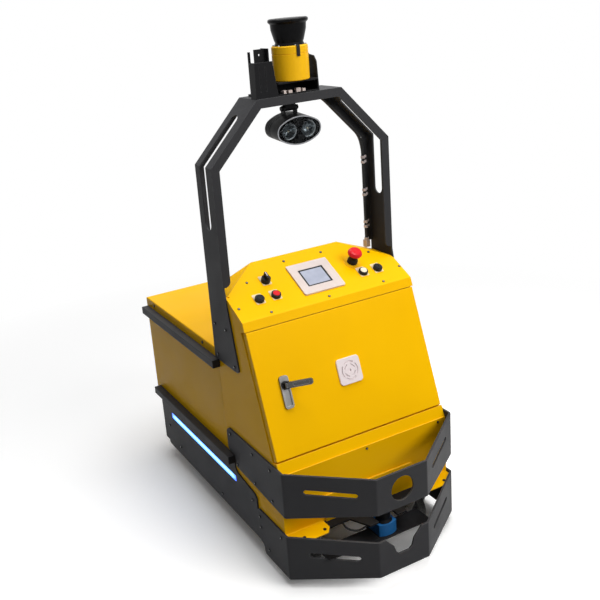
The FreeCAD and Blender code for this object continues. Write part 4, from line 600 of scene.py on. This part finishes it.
# ---------------------------------------- dressing
class Slot(Enum):
    """The material slots whose nodes share one finish."""

    YELLOW_PAINT = "yellow_paint"
    DARK_PAINT = "dark_paint"
    BLACK_METAL = "black_metal"
    STEEL = "steel"
    ALUMINIUM = "aluminium"
    MOTOR_ALLOY = "motor_alloy"
    BLACK_PLASTIC = "black_plastic"
    GREY_PLASTIC = "grey_plastic"
    BLUE_PLASTIC = "blue_plastic"
    BEIGE_PLASTIC = "beige_plastic"
    PALE_PLASTIC = "pale_plastic"
    YELLOW_PLASTIC = "yellow_plastic"
    RED_PLASTIC = "red_plastic"
    CREAM_PLASTIC = "cream_plastic"
    DARK_WINDOW = "dark_window"
    LENS = "lens"
    RUBBER = "rubber"


@dataclass
class FinishBook:
    """Every finish of the robot, and which node wears which.

    Attributes:
        book: The slots' finishes.
    """

    book: dict[Slot, Material] = field(default_factory=dict)

    def mix(self) -> None:
        """Mixes the finishes that the slots share."""
        finishes = {
            # the third colour of each powder coat is its painted edge highlight
            Slot.YELLOW_PAINT: PowderCoat(
                "yellow powder coat", (0.95, 0.515, 0.0), (0.90, 0.478, 0.0), (1.0, 0.74, 0.16),
                roughness=0.34, gloss=0.05),
            Slot.DARK_PAINT: PowderCoat(
                "anthracite fine texture", (0.043, 0.043, 0.046), (0.034, 0.034, 0.037), (0.14, 0.145, 0.15),
                edge_highlight_share=0.7, roughness=0.5, peel=1300.0, peel_depth=0.0002, gloss=0.08, upward_paling=0.05),
            Slot.BLACK_METAL: PowderCoat(
                "satin black", (0.010, 0.010, 0.011), (0.007, 0.007, 0.008), (0.10, 0.10, 0.105),
                roughness=0.45, peel=900.0, peel_depth=0.0001, gloss=0.08, upward_paling=0.02),
            Slot.STEEL: PlatedMetal("zinc plate", (0.42, 0.42, 0.41), (0.20, 0.20, 0.20), roughness=0.4),
            Slot.ALUMINIUM: PlatedMetal(
                "satin aluminium", (0.62, 0.63, 0.64), (0.46, 0.47, 0.48), roughness=0.32, spangle=500.0,
                brushed=(1.0, 0.08, 1.0), anisotropy=0.4),
            Slot.MOTOR_ALLOY: PlatedMetal(
                "cast alloy", (0.28, 0.29, 0.31), (0.17, 0.175, 0.19), roughness=0.55, spangle=900.0,
                pitting=0.00015, metallic=0.7),
            Slot.BLACK_PLASTIC: MouldedPlastic(
                "black polyamide", (0.010, 0.010, 0.011), (0.015, 0.015, 0.016), corner_highlight=(0.09, 0.09, 0.09),
                gloss=0.14),
            Slot.GREY_PLASTIC: MouldedPlastic(
                "grey housing plastic", (0.22, 0.23, 0.245), (0.27, 0.28, 0.29)),
            Slot.BLUE_PLASTIC: MouldedPlastic(
                "blue sensor plastic", (0.010, 0.105, 0.30), (0.014, 0.13, 0.36), corner_highlight=(0.12, 0.32, 0.6),
                coat=0.15),
            Slot.BEIGE_PLASTIC: MouldedPlastic(
                "warm grey bezel", (0.64, 0.545, 0.51), (0.70, 0.60, 0.56), corner_highlight=(0.7, 0.64, 0.6),
                gloss=0.2),
            Slot.PALE_PLASTIC: MouldedPlastic(
                "pale plastic", (0.76, 0.66, 0.67), (0.82, 0.73, 0.74), corner_highlight=(0.9, 0.86, 0.86)),
            Slot.YELLOW_PLASTIC: MouldedPlastic(
                "sensor yellow", (0.93, 0.51, 0.008), (0.88, 0.47, 0.006), corner_highlight=(0.95, 0.62, 0.06),
                gloss=0.12),
            Slot.RED_PLASTIC: MouldedPlastic(
                "signal red", (0.72, 0.006, 0.014), (0.62, 0.005, 0.011), corner_highlight=(0.85, 0.12, 0.12),
                coat=0.12, roughness=0.34, gloss=0.2),
            Slot.CREAM_PLASTIC: MouldedPlastic(
                "cream cap", (0.86, 0.74, 0.52), (0.9, 0.8, 0.62), corner_highlight=(0.95, 0.9, 0.8), coat=0.3,
                roughness=0.3),
            Slot.DARK_WINDOW: SmokedGlass(
                "smoked window", (0.0025, 0.0025, 0.003), roughness=0.26, gloss=0.05, skin=0.0),
            Slot.LENS: SmokedGlass(
                "lamp lens", (0.36, 0.38, 0.39), roughness=0.03, transmission=1.0, gloss=0.2, skin=0.0,
                bend=1.12),
            Slot.RUBBER: MouldedPlastic(
                "cable sheath", (0.016, 0.016, 0.017), (0.026, 0.026, 0.027), roughness=0.5, grain=900.0),
        }
        for slot, finish in finishes.items():
            self.book[slot] = finish.material()

    def dress(self, nodes: dict[str, bpy.types.Object]) -> None:
        """Dresses every CAD node by its slot, or in a finish of its own.

        Args:
            nodes: The frame's nodes by name.
        """
        self.mix()
        by_slot = {slot.value: stuff for slot, stuff in self.book.items()}
        for name, node in nodes.items():
            worn = self.special(name) or by_slot[node.material_slots[0].material.name]
            for place in node.material_slots:
                place.material = worn
            log.info("%s wears %s", name, worn.name)

    def special(self, name: str) -> Material | None:
        """A node's own finish, which may be centred on the node.

        Args:
            name: The node's name.

        Returns:
            The material, or None where the slot's shared finish serves.
        """
        low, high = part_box(name)
        middle, size = (low + high) / 2, high - low
        finish: Finish | None = None
        if name.startswith("caster_wheel"):
            finish = WheelRubber(f"{name} rubber", TyreSide.CASTER, middle, hub_radius=0.033,
                                 tread_radius=0.05)
        elif name.startswith("drive_tyre"):
            finish = WheelRubber(f"{name} rubber", TyreSide.DRIVE, middle, hub_radius=0.07,
                                 tread_radius=0.1)
        elif name == "handle_lever":
            finish = PlatedMetal("dark cast lever", (0.10, 0.098, 0.095), (0.06, 0.06, 0.06), roughness=0.42,
                                 spangle=700.0)
        elif name == "handle_plate":
            finish = PlatedMetal("satin nickel plate", (0.26, 0.255, 0.25), (0.16, 0.16, 0.16),
                                 roughness=0.36, spangle=700.0, brushed=(1.0, 0.1, 1.0), anisotropy=0.3)
        elif name == "legend_plates":
            finish = MouldedPlastic("legend plates", (0.80, 0.64, 0.40), (0.85, 0.70, 0.46),
                                    corner_highlight=(0.9, 0.8, 0.6), gloss=0.2)
        elif name == "light_strips":
            finish = LightStrip("light strip glow", middle, size.y / 2)
        elif name == "hmi_screen":
            finish = PanelDisplay("operator screen", middle, math.atan2(size.z, size.y), size.x / 2,
                                  size.yz.length / 2)
        return finish.material() if finish else None


# ---------------------------------------- fittings
class Body(Enum):
    """The bodies that trim rides on."""

    CHASSIS = "chassis"
    SPOT_LIGHT = "spot_light"
    SELECTOR = "selector"


@dataclass
class Bench:
    """Where new pieces are finished: a mesh leaves it as an object with a finish, riding on its body.

    Attributes:
        finishes: The robot's finishes.
        frame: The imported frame.
    """

    finishes: FinishBook
    frame: dict[str, Any]

    def keep(self, mesh: Mesh, name: str, slot: Slot, body: Body, smooth: bool = False) -> None:
        """Finishes one piece.

        Args:
            mesh: Its mesh, in the robot's frame.
            name: Its name.
            slot: The slot whose finish it wears.
            body: The body that it rides on.
            smooth: Whether its faces shade smoothly.
        """
        data = bpy.data.meshes.new(name)
        mesh.to_mesh(data)
        mesh.free()
        if smooth:
            data.polygons.foreach_set("use_smooth", [True] * len(data.polygons))
        data.materials.append(self.finishes.book[slot])
        piece = bpy.data.objects.new(name, data)
        bpy.context.scene.collection.objects.link(piece)
        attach(piece, body.value)
        log.info("made %s, on %s", name, body.value)

    def copy(self, node: str) -> Mesh:
        """A merged copy of a node's mesh.

        Args:
            node: The node's name.

        Returns:
            The copy.
        """
        mesh = bmesh.new()
        mesh.from_mesh(self.frame["nodes"][node].data)
        bmesh.ops.remove_doubles(mesh, verts=mesh.verts, dist=WELD)
        mesh.normal_update()
        return mesh

    def skin(self, node: str, chosen: Callable[[Face], bool], lift: float,
             wall: float) -> Mesh:
        """A thin shell laid over chosen faces of a node.

        Args:
            node: The node's name.
            chosen: Tells whether a face is covered.
            lift: How far the shell stands off the faces.
            wall: Its thickness.

        Returns:
            The shell's mesh.
        """
        mesh = self.copy(node)
        bare = [face for face in mesh.faces if not chosen(face)]
        bmesh.ops.delete(mesh, geom=bare, context="FACES")
        mesh.normal_update()
        for point in mesh.verts:
            point.co += point.normal * lift
        bmesh.ops.solidify(mesh, geom=mesh.faces, thickness=wall)
        bmesh.ops.recalc_face_normals(mesh, faces=mesh.faces)
        return mesh


def block(mesh: Mesh, size: Vector, place: Matrix, round_by: float = 0.0) -> None:
    """Adds a block with rounded edges to a mesh.

    Args:
        mesh: The mesh.
        size: The block's three sizes.
        place: Where its middle goes, and how it is turned.
        round_by: Radius of its edges.
    """
    points = bmesh.ops.create_cube(mesh, size=1.0)["verts"]
    bmesh.ops.scale(mesh, vec=size, verts=points)
    if round_by:
        edges = list(dict.fromkeys(edge for point in points for edge in point.link_edges))
        done = bmesh.ops.bevel(mesh, geom=edges, offset=round_by, offset_type="OFFSET", segments=2,
                               profile=0.5, affect="EDGES", material=-1)
        points = list(dict.fromkeys(point for face in done["faces"] for point in face.verts))
    bmesh.ops.transform(mesh, matrix=place, verts=points)


def facing(direction: Vector, upward: Vector = UP) -> Matrix:
    """A turn that brings Z to a direction and Y as near as it can to another.

    Args:
        direction: Where Z goes.
        upward: What Y leans to.

    Returns:
        The turn as a 4 by 4 matrix.
    """
    out = direction.normalized()
    across = upward.cross(out).normalized()
    return Matrix((across, out.cross(across), out)).transposed().to_4x4()


@dataclass
class Fitting:
    """A few trim pieces that belong together.

    Attributes:
        bench: Where they are finished.
    """

    bench: Bench

    def build(self) -> None:
        """Builds the pieces."""
        raise NotImplementedError


@dataclass
class SpotLightTrim(Fitting):
    """The bright rim round the lamp's glass, its reflector bowls and the light-emitting chips.

    Attributes:
        pitch: The lamp's downward tilt.
        middle: The housing's middle.
        half_depth: Half of the housing's depth.
        glass: Depth of the recess for the glass.
        lens_gap: Distance between the middles of the two lenses.
        bowl: Radius of a bowl at its mouth.
        bowl_end: Where a bowl ends, along the housing's own Y.
        near: How far a point may be from a face of the housing and still lie on it.
        chip: Radius of a chip's bright dome.
        chip_depth: How far the dome's middle lies behind the glass.
    """

    pitch: float = math.radians(5.0)
    middle: Vector = fixed(0.0, -0.090, 1.290)
    half_depth: float = 0.038
    glass: float = 0.003
    lens_gap: float = 0.066
    bowl: float = 0.0248
    bowl_end: float = -0.008
    near: float = 0.0003
    chip: float = 0.0032
    chip_depth: float = 0.0066

    def inward(self, vector: Vector) -> Vector:
        """A direction in the housing's own frame."""
        return Matrix.Rotation(-self.pitch, 3, "X") @ vector

    def on_rim(self, face: Face) -> bool:
        """Whether a face lies on the front rim."""
        own = self.inward(face.calc_center_median() - self.middle)
        return self.inward(face.normal).y < -0.95 and abs(own.y + self.half_depth) < self.near

    def in_bowl(self, face: Face) -> bool:
        """Whether a face lies inside a reflector bowl.

        Args:
            face: The face.

        Returns:
            Whether it does.
        """
        own = self.inward(face.calc_center_median() - self.middle)
        reach = math.hypot(abs(own.x) - self.lens_gap / 2, own.z)
        return reach < self.bowl and -self.half_depth + self.glass + 0.0002 < own.y < self.bowl_end

    def build(self) -> None:
        """Builds the rim, the reflectors and the chips."""
        self.bench.keep(self.bench.skin("lamp_housing", self.on_rim, lift=0.0004, wall=0.0003),
                        "lamp_bright_rim", Slot.MOTOR_ALLOY, Body.SPOT_LIGHT)
        self.bench.keep(self.bench.skin("lamp_housing", self.in_bowl, lift=0.0003, wall=0.0002),
                        "lamp_reflectors", Slot.ALUMINIUM, Body.SPOT_LIGHT, smooth=True)
        mesh = bmesh.new()
        housing = Matrix.Translation(self.middle) @ Matrix.Rotation(self.pitch, 4, "X")
        for side in (-1.0, 1.0):
            own = Vector((side * self.lens_gap / 2, -self.half_depth + self.glass + self.chip_depth, 0.0))
            bmesh.ops.create_uvsphere(mesh, u_segments=16, v_segments=10, radius=self.chip,
                                      matrix=housing @ Matrix.Translation(own))
        self.bench.keep(mesh, "lamp_chips", Slot.CREAM_PLASTIC, Body.SPOT_LIGHT, smooth=True)


@dataclass
class NavScannerTrim(Fitting):
    """The strap over the drum's front and the bolts round its top.

    Attributes:
        strap: Width, thickness and length of the strap down the drum.
        strap_place: Its middle, from the front of the drum's top edge.
        fold: Width, length and thickness of its end folded over the drum's top.
        fold_place: The fold's middle, from the front of the drum's top edge.
        rounding: Radius of their edges.
        bolts: How many bolts hold the hood.
        first_bolt: Where the first one stands, as a share of the step between two.
        bolt_radius: Radius of a bolt's head.
        bolt_height: Its height.
        bolt_crown: How far its top is drawn in.
        bolt_inset: How far its middle lies in from the drum's wall.
    """

    strap: Vector = fixed(0.011, 0.0022, 0.030)
    strap_place: Vector = fixed(-0.003, -0.00088, -0.015)
    fold: Vector = fixed(0.011, 0.011, 0.0018)
    fold_place: Vector = fixed(-0.003, 0.004, 0.0008)
    rounding: float = 0.0006
    bolts: int = 6
    first_bolt: float = 0.35
    bolt_radius: float = 0.0028
    bolt_height: float = 0.0028
    bolt_crown: float = 0.0006
    bolt_inset: float = 0.0055

    def build(self) -> None:
        """Builds the strap and the bolts."""
        low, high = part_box("nav_body")
        top = Vector(((low.x + high.x) / 2, (low.y + high.y) / 2, high.z))
        radius = (high.x - low.x) / 2
        mesh = bmesh.new()
        front = top - Vector((0.0, radius, 0.0))
        for size, place in ((self.strap, self.strap_place), (self.fold, self.fold_place)):
            block(mesh, size, Matrix.Translation(front + place), self.rounding)
        self.bench.keep(mesh, "nav_drum_strap", Slot.BLACK_PLASTIC, Body.CHASSIS)
        mesh = bmesh.new()
        reach = radius - self.bolt_inset
        for step in range(self.bolts):
            turn = math.tau * (step + self.first_bolt) / self.bolts
            place = Vector((math.cos(turn) * reach, math.sin(turn) * reach, self.bolt_height / 2))
            bmesh.ops.create_cone(mesh, cap_ends=True, segments=16, radius1=self.bolt_radius,
                                  radius2=self.bolt_radius - self.bolt_crown, depth=self.bolt_height,
                                  matrix=Matrix.Translation(top + place))
        self.bench.keep(mesh, "nav_drum_bolts", Slot.STEEL, Body.CHASSIS)


@dataclass
class PanelTrim(Fitting):
    """The selector's white pointer.

    Attributes:
        pointer: Width, length and thickness of the pointer.
        knob_rise: The knob's top over its joint's point.
        forward: How far the pointer's middle lies from the knob's axis.
        rounding: Radius of the pointer's edges.
    """

    pointer: Vector = fixed(0.0028, 0.015, 0.0006)
    knob_rise: float = 0.0182
    forward: float = 0.004
    rounding: float = 0.0002

    def build(self) -> None:
        """Builds the pointer."""
        joints = self.bench.frame["record"]["behaviour"]["joints"]
        joint = next(joint for joint in joints if joint["name"] == "selector_turn")
        out = Vector(joint["axis"])
        turn = Matrix.Translation(Vector(joint["pos_m"])) @ facing(out)
        own = Matrix.Translation(Vector((0.0, self.forward, self.knob_rise)))
        mesh = bmesh.new()
        block(mesh, self.pointer, turn @ own, self.rounding)
        self.bench.keep(mesh, "selector_pointer", Slot.PALE_PLASTIC, Body.SELECTOR)


@dataclass
class ScrewRecesses(Fitting):
    """A thin cross laid on the head of every cover screw, standing for its cross recess.

    Attributes:
        arm: Length, width and depth of one arm of the cross.
        turns: How the two arms are turned.
        proud: How far the arms' middle stands off the head.
        inside: A point inside the covers, from which every screw points away.
    """

    arm: Vector = fixed(0.0052, 0.0011, 0.0002)
    turns: tuple[float, float] = (0.5, 2.1)
    proud: float = 0.00005
    inside: Vector = fixed(0.0, 0.1, 0.5)

    def screws(self, mesh: Mesh) -> list[list[Point]]:
        """Parts a mesh into its separate screws.

        Args:
            mesh: The merged mesh of all the screws.

        Returns:
            The points of each screw.
        """
        screws: list[list[Point]] = []
        met: set[Point] = set()
        for start in mesh.verts:
            if start in met:
                continue
            met.add(start)
            group = [start]
            for point in group:
                for edge in point.link_edges:
                    other = edge.other_vert(point)
                    if other not in met:
                        met.add(other)
                        group.append(other)
            screws.append(group)
        return screws

    def head(self, screw: list[Point]) -> tuple[Vector, Vector]:
        """Finds a screw's outer face, one of the two widest.

        Args:
            screw: The screw's points.

        Returns:
            The face's middle and its outward direction.
        """
        areas: dict[tuple[float, ...], float] = {}
        for face in dict.fromkeys(face for point in screw for face in point.link_faces):
            key = tuple(round(part, 2) for part in face.normal)
            areas[key] = areas.get(key, 0.0) + face.calc_area()
        middle = sum((point.co for point in screw), Vector()) / len(screw)
        ends = [Vector(key).normalized() for key in sorted(areas, key=areas.get, reverse=True)[:2]]
        out = max(ends, key=lambda end: end.dot(middle - self.inside))
        return middle + out * max((point.co - middle).dot(out) for point in screw), out

    def build(self) -> None:
        """Builds the crosses."""
        screws = self.bench.copy("cover_screws")
        mesh = bmesh.new()
        for place, out in (self.head(screw) for screw in self.screws(screws)):
            level = abs(out.z) >= 0.95
            lean = Vector((0.0, 1.0, 0.0)) if level else UP
            head = Matrix.Translation(place + out * self.proud) @ facing(out, lean)
            for turn in self.turns:
                block(mesh, self.arm, head @ Matrix.Rotation(turn, 4, "Z"))
        screws.free()
        self.bench.keep(mesh, "screw_recesses", Slot.STEEL, Body.CHASSIS)


@dataclass
class NosePanels(Fitting):
    """Yellow paint on the deck's upstand behind the upper bumper, and black floor plates beside the low
    scanner that also paint the shade under the chassis.

    Attributes:
        foot: Height above which the upstand is painted.
        reach_down: How far below it a painted face may start.
        sheet: Thickness of a floor plate.
        right_end: How far the plates reach to the robot's right-hand side.
        left_end: How far they reach to its left-hand side.
        rear: Rear edge of the plates, ahead of the casters.
        lip: Depth of the bracket's front lip, which the right-hand plate starts behind.
        lift: How far the plates lie over the bracket's underside.
        rounding: Radius of their edges.
    """

    foot: float = 0.172
    reach_down: float = 0.03
    sheet: float = 0.003
    right_end: float = -0.215
    left_end: float = 0.150
    rear: float = -0.431
    lip: float = 0.010
    lift: float = 0.0005
    rounding: float = 0.0005

    def painted(self, face: Face) -> bool:
        """Whether a face of the deck is painted yellow."""
        lowest = min(point.co.z for point in face.verts)
        return face.calc_center_median().z > self.foot and lowest > self.foot - self.reach_down

    def build(self) -> None:
        """Builds the paint and the plates."""
        self.bench.keep(self.bench.skin("front_deck", self.painted, lift=0.0003, wall=0.0002),
                        "deck_upstand_paint", Slot.YELLOW_PAINT, Body.CHASSIS)
        # black plates beside the scanner's bracket: partly a real floor plate, partly painted shade for the
        # dark space under the chassis
        low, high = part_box("scanner_bracket")
        height = low.z + self.sheet / 2 + self.lift
        mesh = bmesh.new()
        for start, end, front in ((self.right_end, -high.x, low.y + self.lip),
                                  (high.x, self.left_end, low.y)):
            place = Matrix.Translation(Vector(((start + end) / 2, (front + self.rear) / 2, height)))
            block(mesh, Vector((end - start, self.rear - front, self.sheet)), place, self.rounding)
        self.bench.keep(mesh, "nose_shade_plates", Slot.BLACK_METAL, Body.CHASSIS)


@dataclass
class RailEndCaps(Fitting):
    """Moulded caps in the open ends of the four square tubes.

    Attributes:
        side: The tube's side.
        lip: How far a cap stands out of the tube.
        slack: How much smaller a cap is than the tube.
        rounding: Radius of its edges.
    """

    side: float = 0.027
    lip: float = 0.0025
    slack: float = 0.0006
    rounding: float = 0.0008

    def build(self) -> None:
        """Builds the caps."""
        mesh = bmesh.new()
        size = Vector((self.side - self.slack, self.lip, self.side - self.slack))
        for node in ("rails_upper", "rails_lower"):
            low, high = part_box(node)
            for side in (-1.0, 1.0):
                across = side * (high.x - self.side / 2)
                for end in (low.y - self.lip / 2, high.y + self.lip / 2):
                    block(mesh, size, Matrix.Translation(Vector((across, end, (low.z + high.z) / 2))),
                          self.rounding)
        self.bench.keep(mesh, "rail_end_caps", Slot.BLACK_PLASTIC, Body.CHASSIS)


# ---------------------------------------- studio
@dataclass(frozen=True)
class SoftBox:
    """One lamp with a broad soft face.

    Attributes:
        name: The lamp's name.
        place: Where it hangs.
        size: Width and height of its face.
        watts: Its power.
        colour: Its colour.
    """

    name: str
    place: Turn
    size: tuple[float, float]
    watts: float
    colour: Colour = (1.0, 1.0, 1.0)

    def hang(self, target: Vector) -> None:
        """Hangs the lamp and points it.

        Args:
            target: What it points at.
        """
        data = bpy.data.lights.new(self.name, "AREA")
        data.shape = "RECTANGLE"
        data.size, data.size_y = self.size
        data.energy = self.watts
        data.color = self.colour
        lamp = bpy.data.objects.new(self.name, data)
        place = Vector(self.place)
        turn = (target - place).to_track_quat("-Z", "Y").to_matrix().to_4x4()
        lamp.matrix_world = Matrix.Translation(place) @ turn
        bpy.context.scene.collection.objects.link(lamp)


@dataclass
class Studio:
    """The floor, the lamps, the surroundings and the camera.

    Attributes:
        floor_half: Half of the floor's side.
        floor_lift: Glow added to the open floor for what looks at it.
        white_from: How far from the robot the floor starts to fade to white.
        white_to: Where it is white.
        fill: Colour of the light from the surroundings.
        fill_strength: Its strength.
        target: What the lamps point at.
        boxes: The lamps: the key in front, on the robot's left, and a broad one over the cover.
        eye: Where the camera stands.
        azimuth: Which way it looks, in degrees.
        elevation: How steeply it looks down, in degrees.
        roll: How far it is tipped, in degrees.
        lens: Its focal length in millimetres.
        shift: Its shift across and up.
    """

    floor_half: float = 12.0
    floor_lift: float = 0.22
    white_from: float = 0.9
    white_to: float = 2.6
    fill: Colour = (0.93, 0.96, 1.0)
    fill_strength: float = 0.13
    target: Vector = fixed(0.0, 0.0, 0.6)
    boxes: tuple[SoftBox, ...] = (
        SoftBox("key soft box", (1.3, -3.2, 2.9), (2.6, 1.8), 97.0, (1.0, 0.985, 0.96)),
        SoftBox("ceiling soft box", (0.3, -0.2, 4.0), (3.0, 3.0), 138.0),
    )
    eye: Vector = fixed(-1.2601, -2.2705, 1.6827)
    azimuth: float = -26.0
    elevation: float = 17.9
    roll: float = 5.3
    lens: float = 50.68
    shift: tuple[float, float] = (0.0897, -0.0553)

    def floor(self) -> None:
        """Lays a pale floor that shows white where it is lit, keeps the robot's shadow, and has a painted
        shadow under the robot.
        """
        mesh = bmesh.new()
        bmesh.ops.create_grid(mesh, x_segments=1, y_segments=1, size=self.floor_half)
        data = bpy.data.meshes.new("studio_floor")
        mesh.to_mesh(data)
        mesh.free()
        data.materials.append(self.floor_finish())
        ground = bpy.data.objects.new("studio_floor", data)
        bpy.context.scene.collection.objects.link(ground)

    def floor_finish(self) -> Material:
        """White matt floor: plain diffuse for light that bounces, brightened to white for what looks at it,
        except under the robot, where the lift is left out to paint a shadow.

        Returns:
            The material.
        """
        sheet = NodeSheet("studio floor")
        seen = sheet.looked_at()
        grain = sheet.mixed(sheet.noise(14.0, 4.0), (0.955, 0.955, 0.955), (0.965, 0.965, 0.963))
        shown = sheet.mixed(seen, (0.30, 0.30, 0.30), grain)
        sheet.set(Base_Color=shown, Roughness=0.85, Specular_IOR_Level=0.0)
        # the open floor is lifted, and the floor under the robot isn't, which paints a shadow under the robot
        east, north, _ = sheet.axes(sheet.centred(Vector((0.0, 0.08, 0.0))))
        beside = sheet.spread(sheet.maths("ABSOLUTE", east), 0.24, 0.36)
        beyond = sheet.spread(sheet.maths("ABSOLUTE", north), 0.40, 0.56)
        outside_painted_shadow = sheet.times(seen, sheet.maths("MAXIMUM", beside, beyond))
        lift = sheet.glow("Emission", sheet.times(outside_painted_shadow, self.floor_lift))
        near = sheet.add("AddShader", {0: sheet.shader.outputs["BSDF"], 1: lift})[0]
        away = sheet.spread(sheet.length(sheet.centred()), self.white_from, self.white_to)
        far = sheet.glow("Emission", 1.0)
        fade = sheet.times(away, seen)
        sheet.put(sheet.surface, sheet.add("MixShader", {0: fade, 1: near, 2: far})[0])
        return sheet.material

    def world(self) -> None:
        """White surroundings for what looks at them, and a soft dim fill for what they light."""
        world = bpy.data.worlds.new("studio surroundings")
        bpy.context.scene.world = world
        world.use_nodes = True
        nodes = Nodes(world.node_tree)
        fill = nodes.glow("Background", self.fill_strength, self.fill)
        white = nodes.glow("Background", 1.0)
        whole = nodes.add("MixShader", {0: nodes.looked_at(), 1: fill, 2: white})[0]
        nodes.add("OutputWorld", {"Surface": whole})

    def camera(self) -> None:
        """Sets the camera."""
        around, above, roll = (math.radians(angle) for angle in (self.azimuth, self.elevation, self.roll))
        level = math.cos(above)
        back = Vector((math.sin(around) * level, -math.cos(around) * level, math.sin(above)))
        forward = -back
        right = forward.cross(UP).normalized()
        down = forward.cross(right)
        across = math.cos(roll) * right + math.sin(roll) * down
        fall = -math.sin(roll) * right + math.cos(roll) * down
        data = bpy.data.cameras.new("studio camera")
        data.lens = self.lens
        data.sensor_width = 36.0
        data.shift_x, data.shift_y = self.shift
        camera = bpy.data.objects.new("studio camera", data)
        bpy.context.scene.collection.objects.link(camera)
        turn = Matrix((across, -fall, back)).transposed().to_4x4()
        camera.matrix_world = Matrix.Translation(self.eye) @ turn
        bpy.context.scene.camera = camera

    def build(self) -> None:
        """Builds the whole studio."""
        bpy.context.scene.view_settings.view_transform = "Standard"
        self.camera()
        self.floor()
        self.world()
        for box in self.boxes:
            box.hang(self.target)
        log.info("studio: floor, surroundings, lamps and camera")


def main() -> None:
    """Dresses the robot and sets it in the studio."""
    logging.basicConfig(level=logging.INFO, format="%(name)s: %(message)s")
    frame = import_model()
    Studio().build()
    finishes = FinishBook()
    finishes.dress(frame["nodes"])
    bench = Bench(finishes, frame)
    for kind in (SpotLightTrim, NavScannerTrim, PanelTrim, ScrewRecesses, RailEndCaps, NosePanels):
        kind(bench).build()


if __name__ == "__main__":
    main()
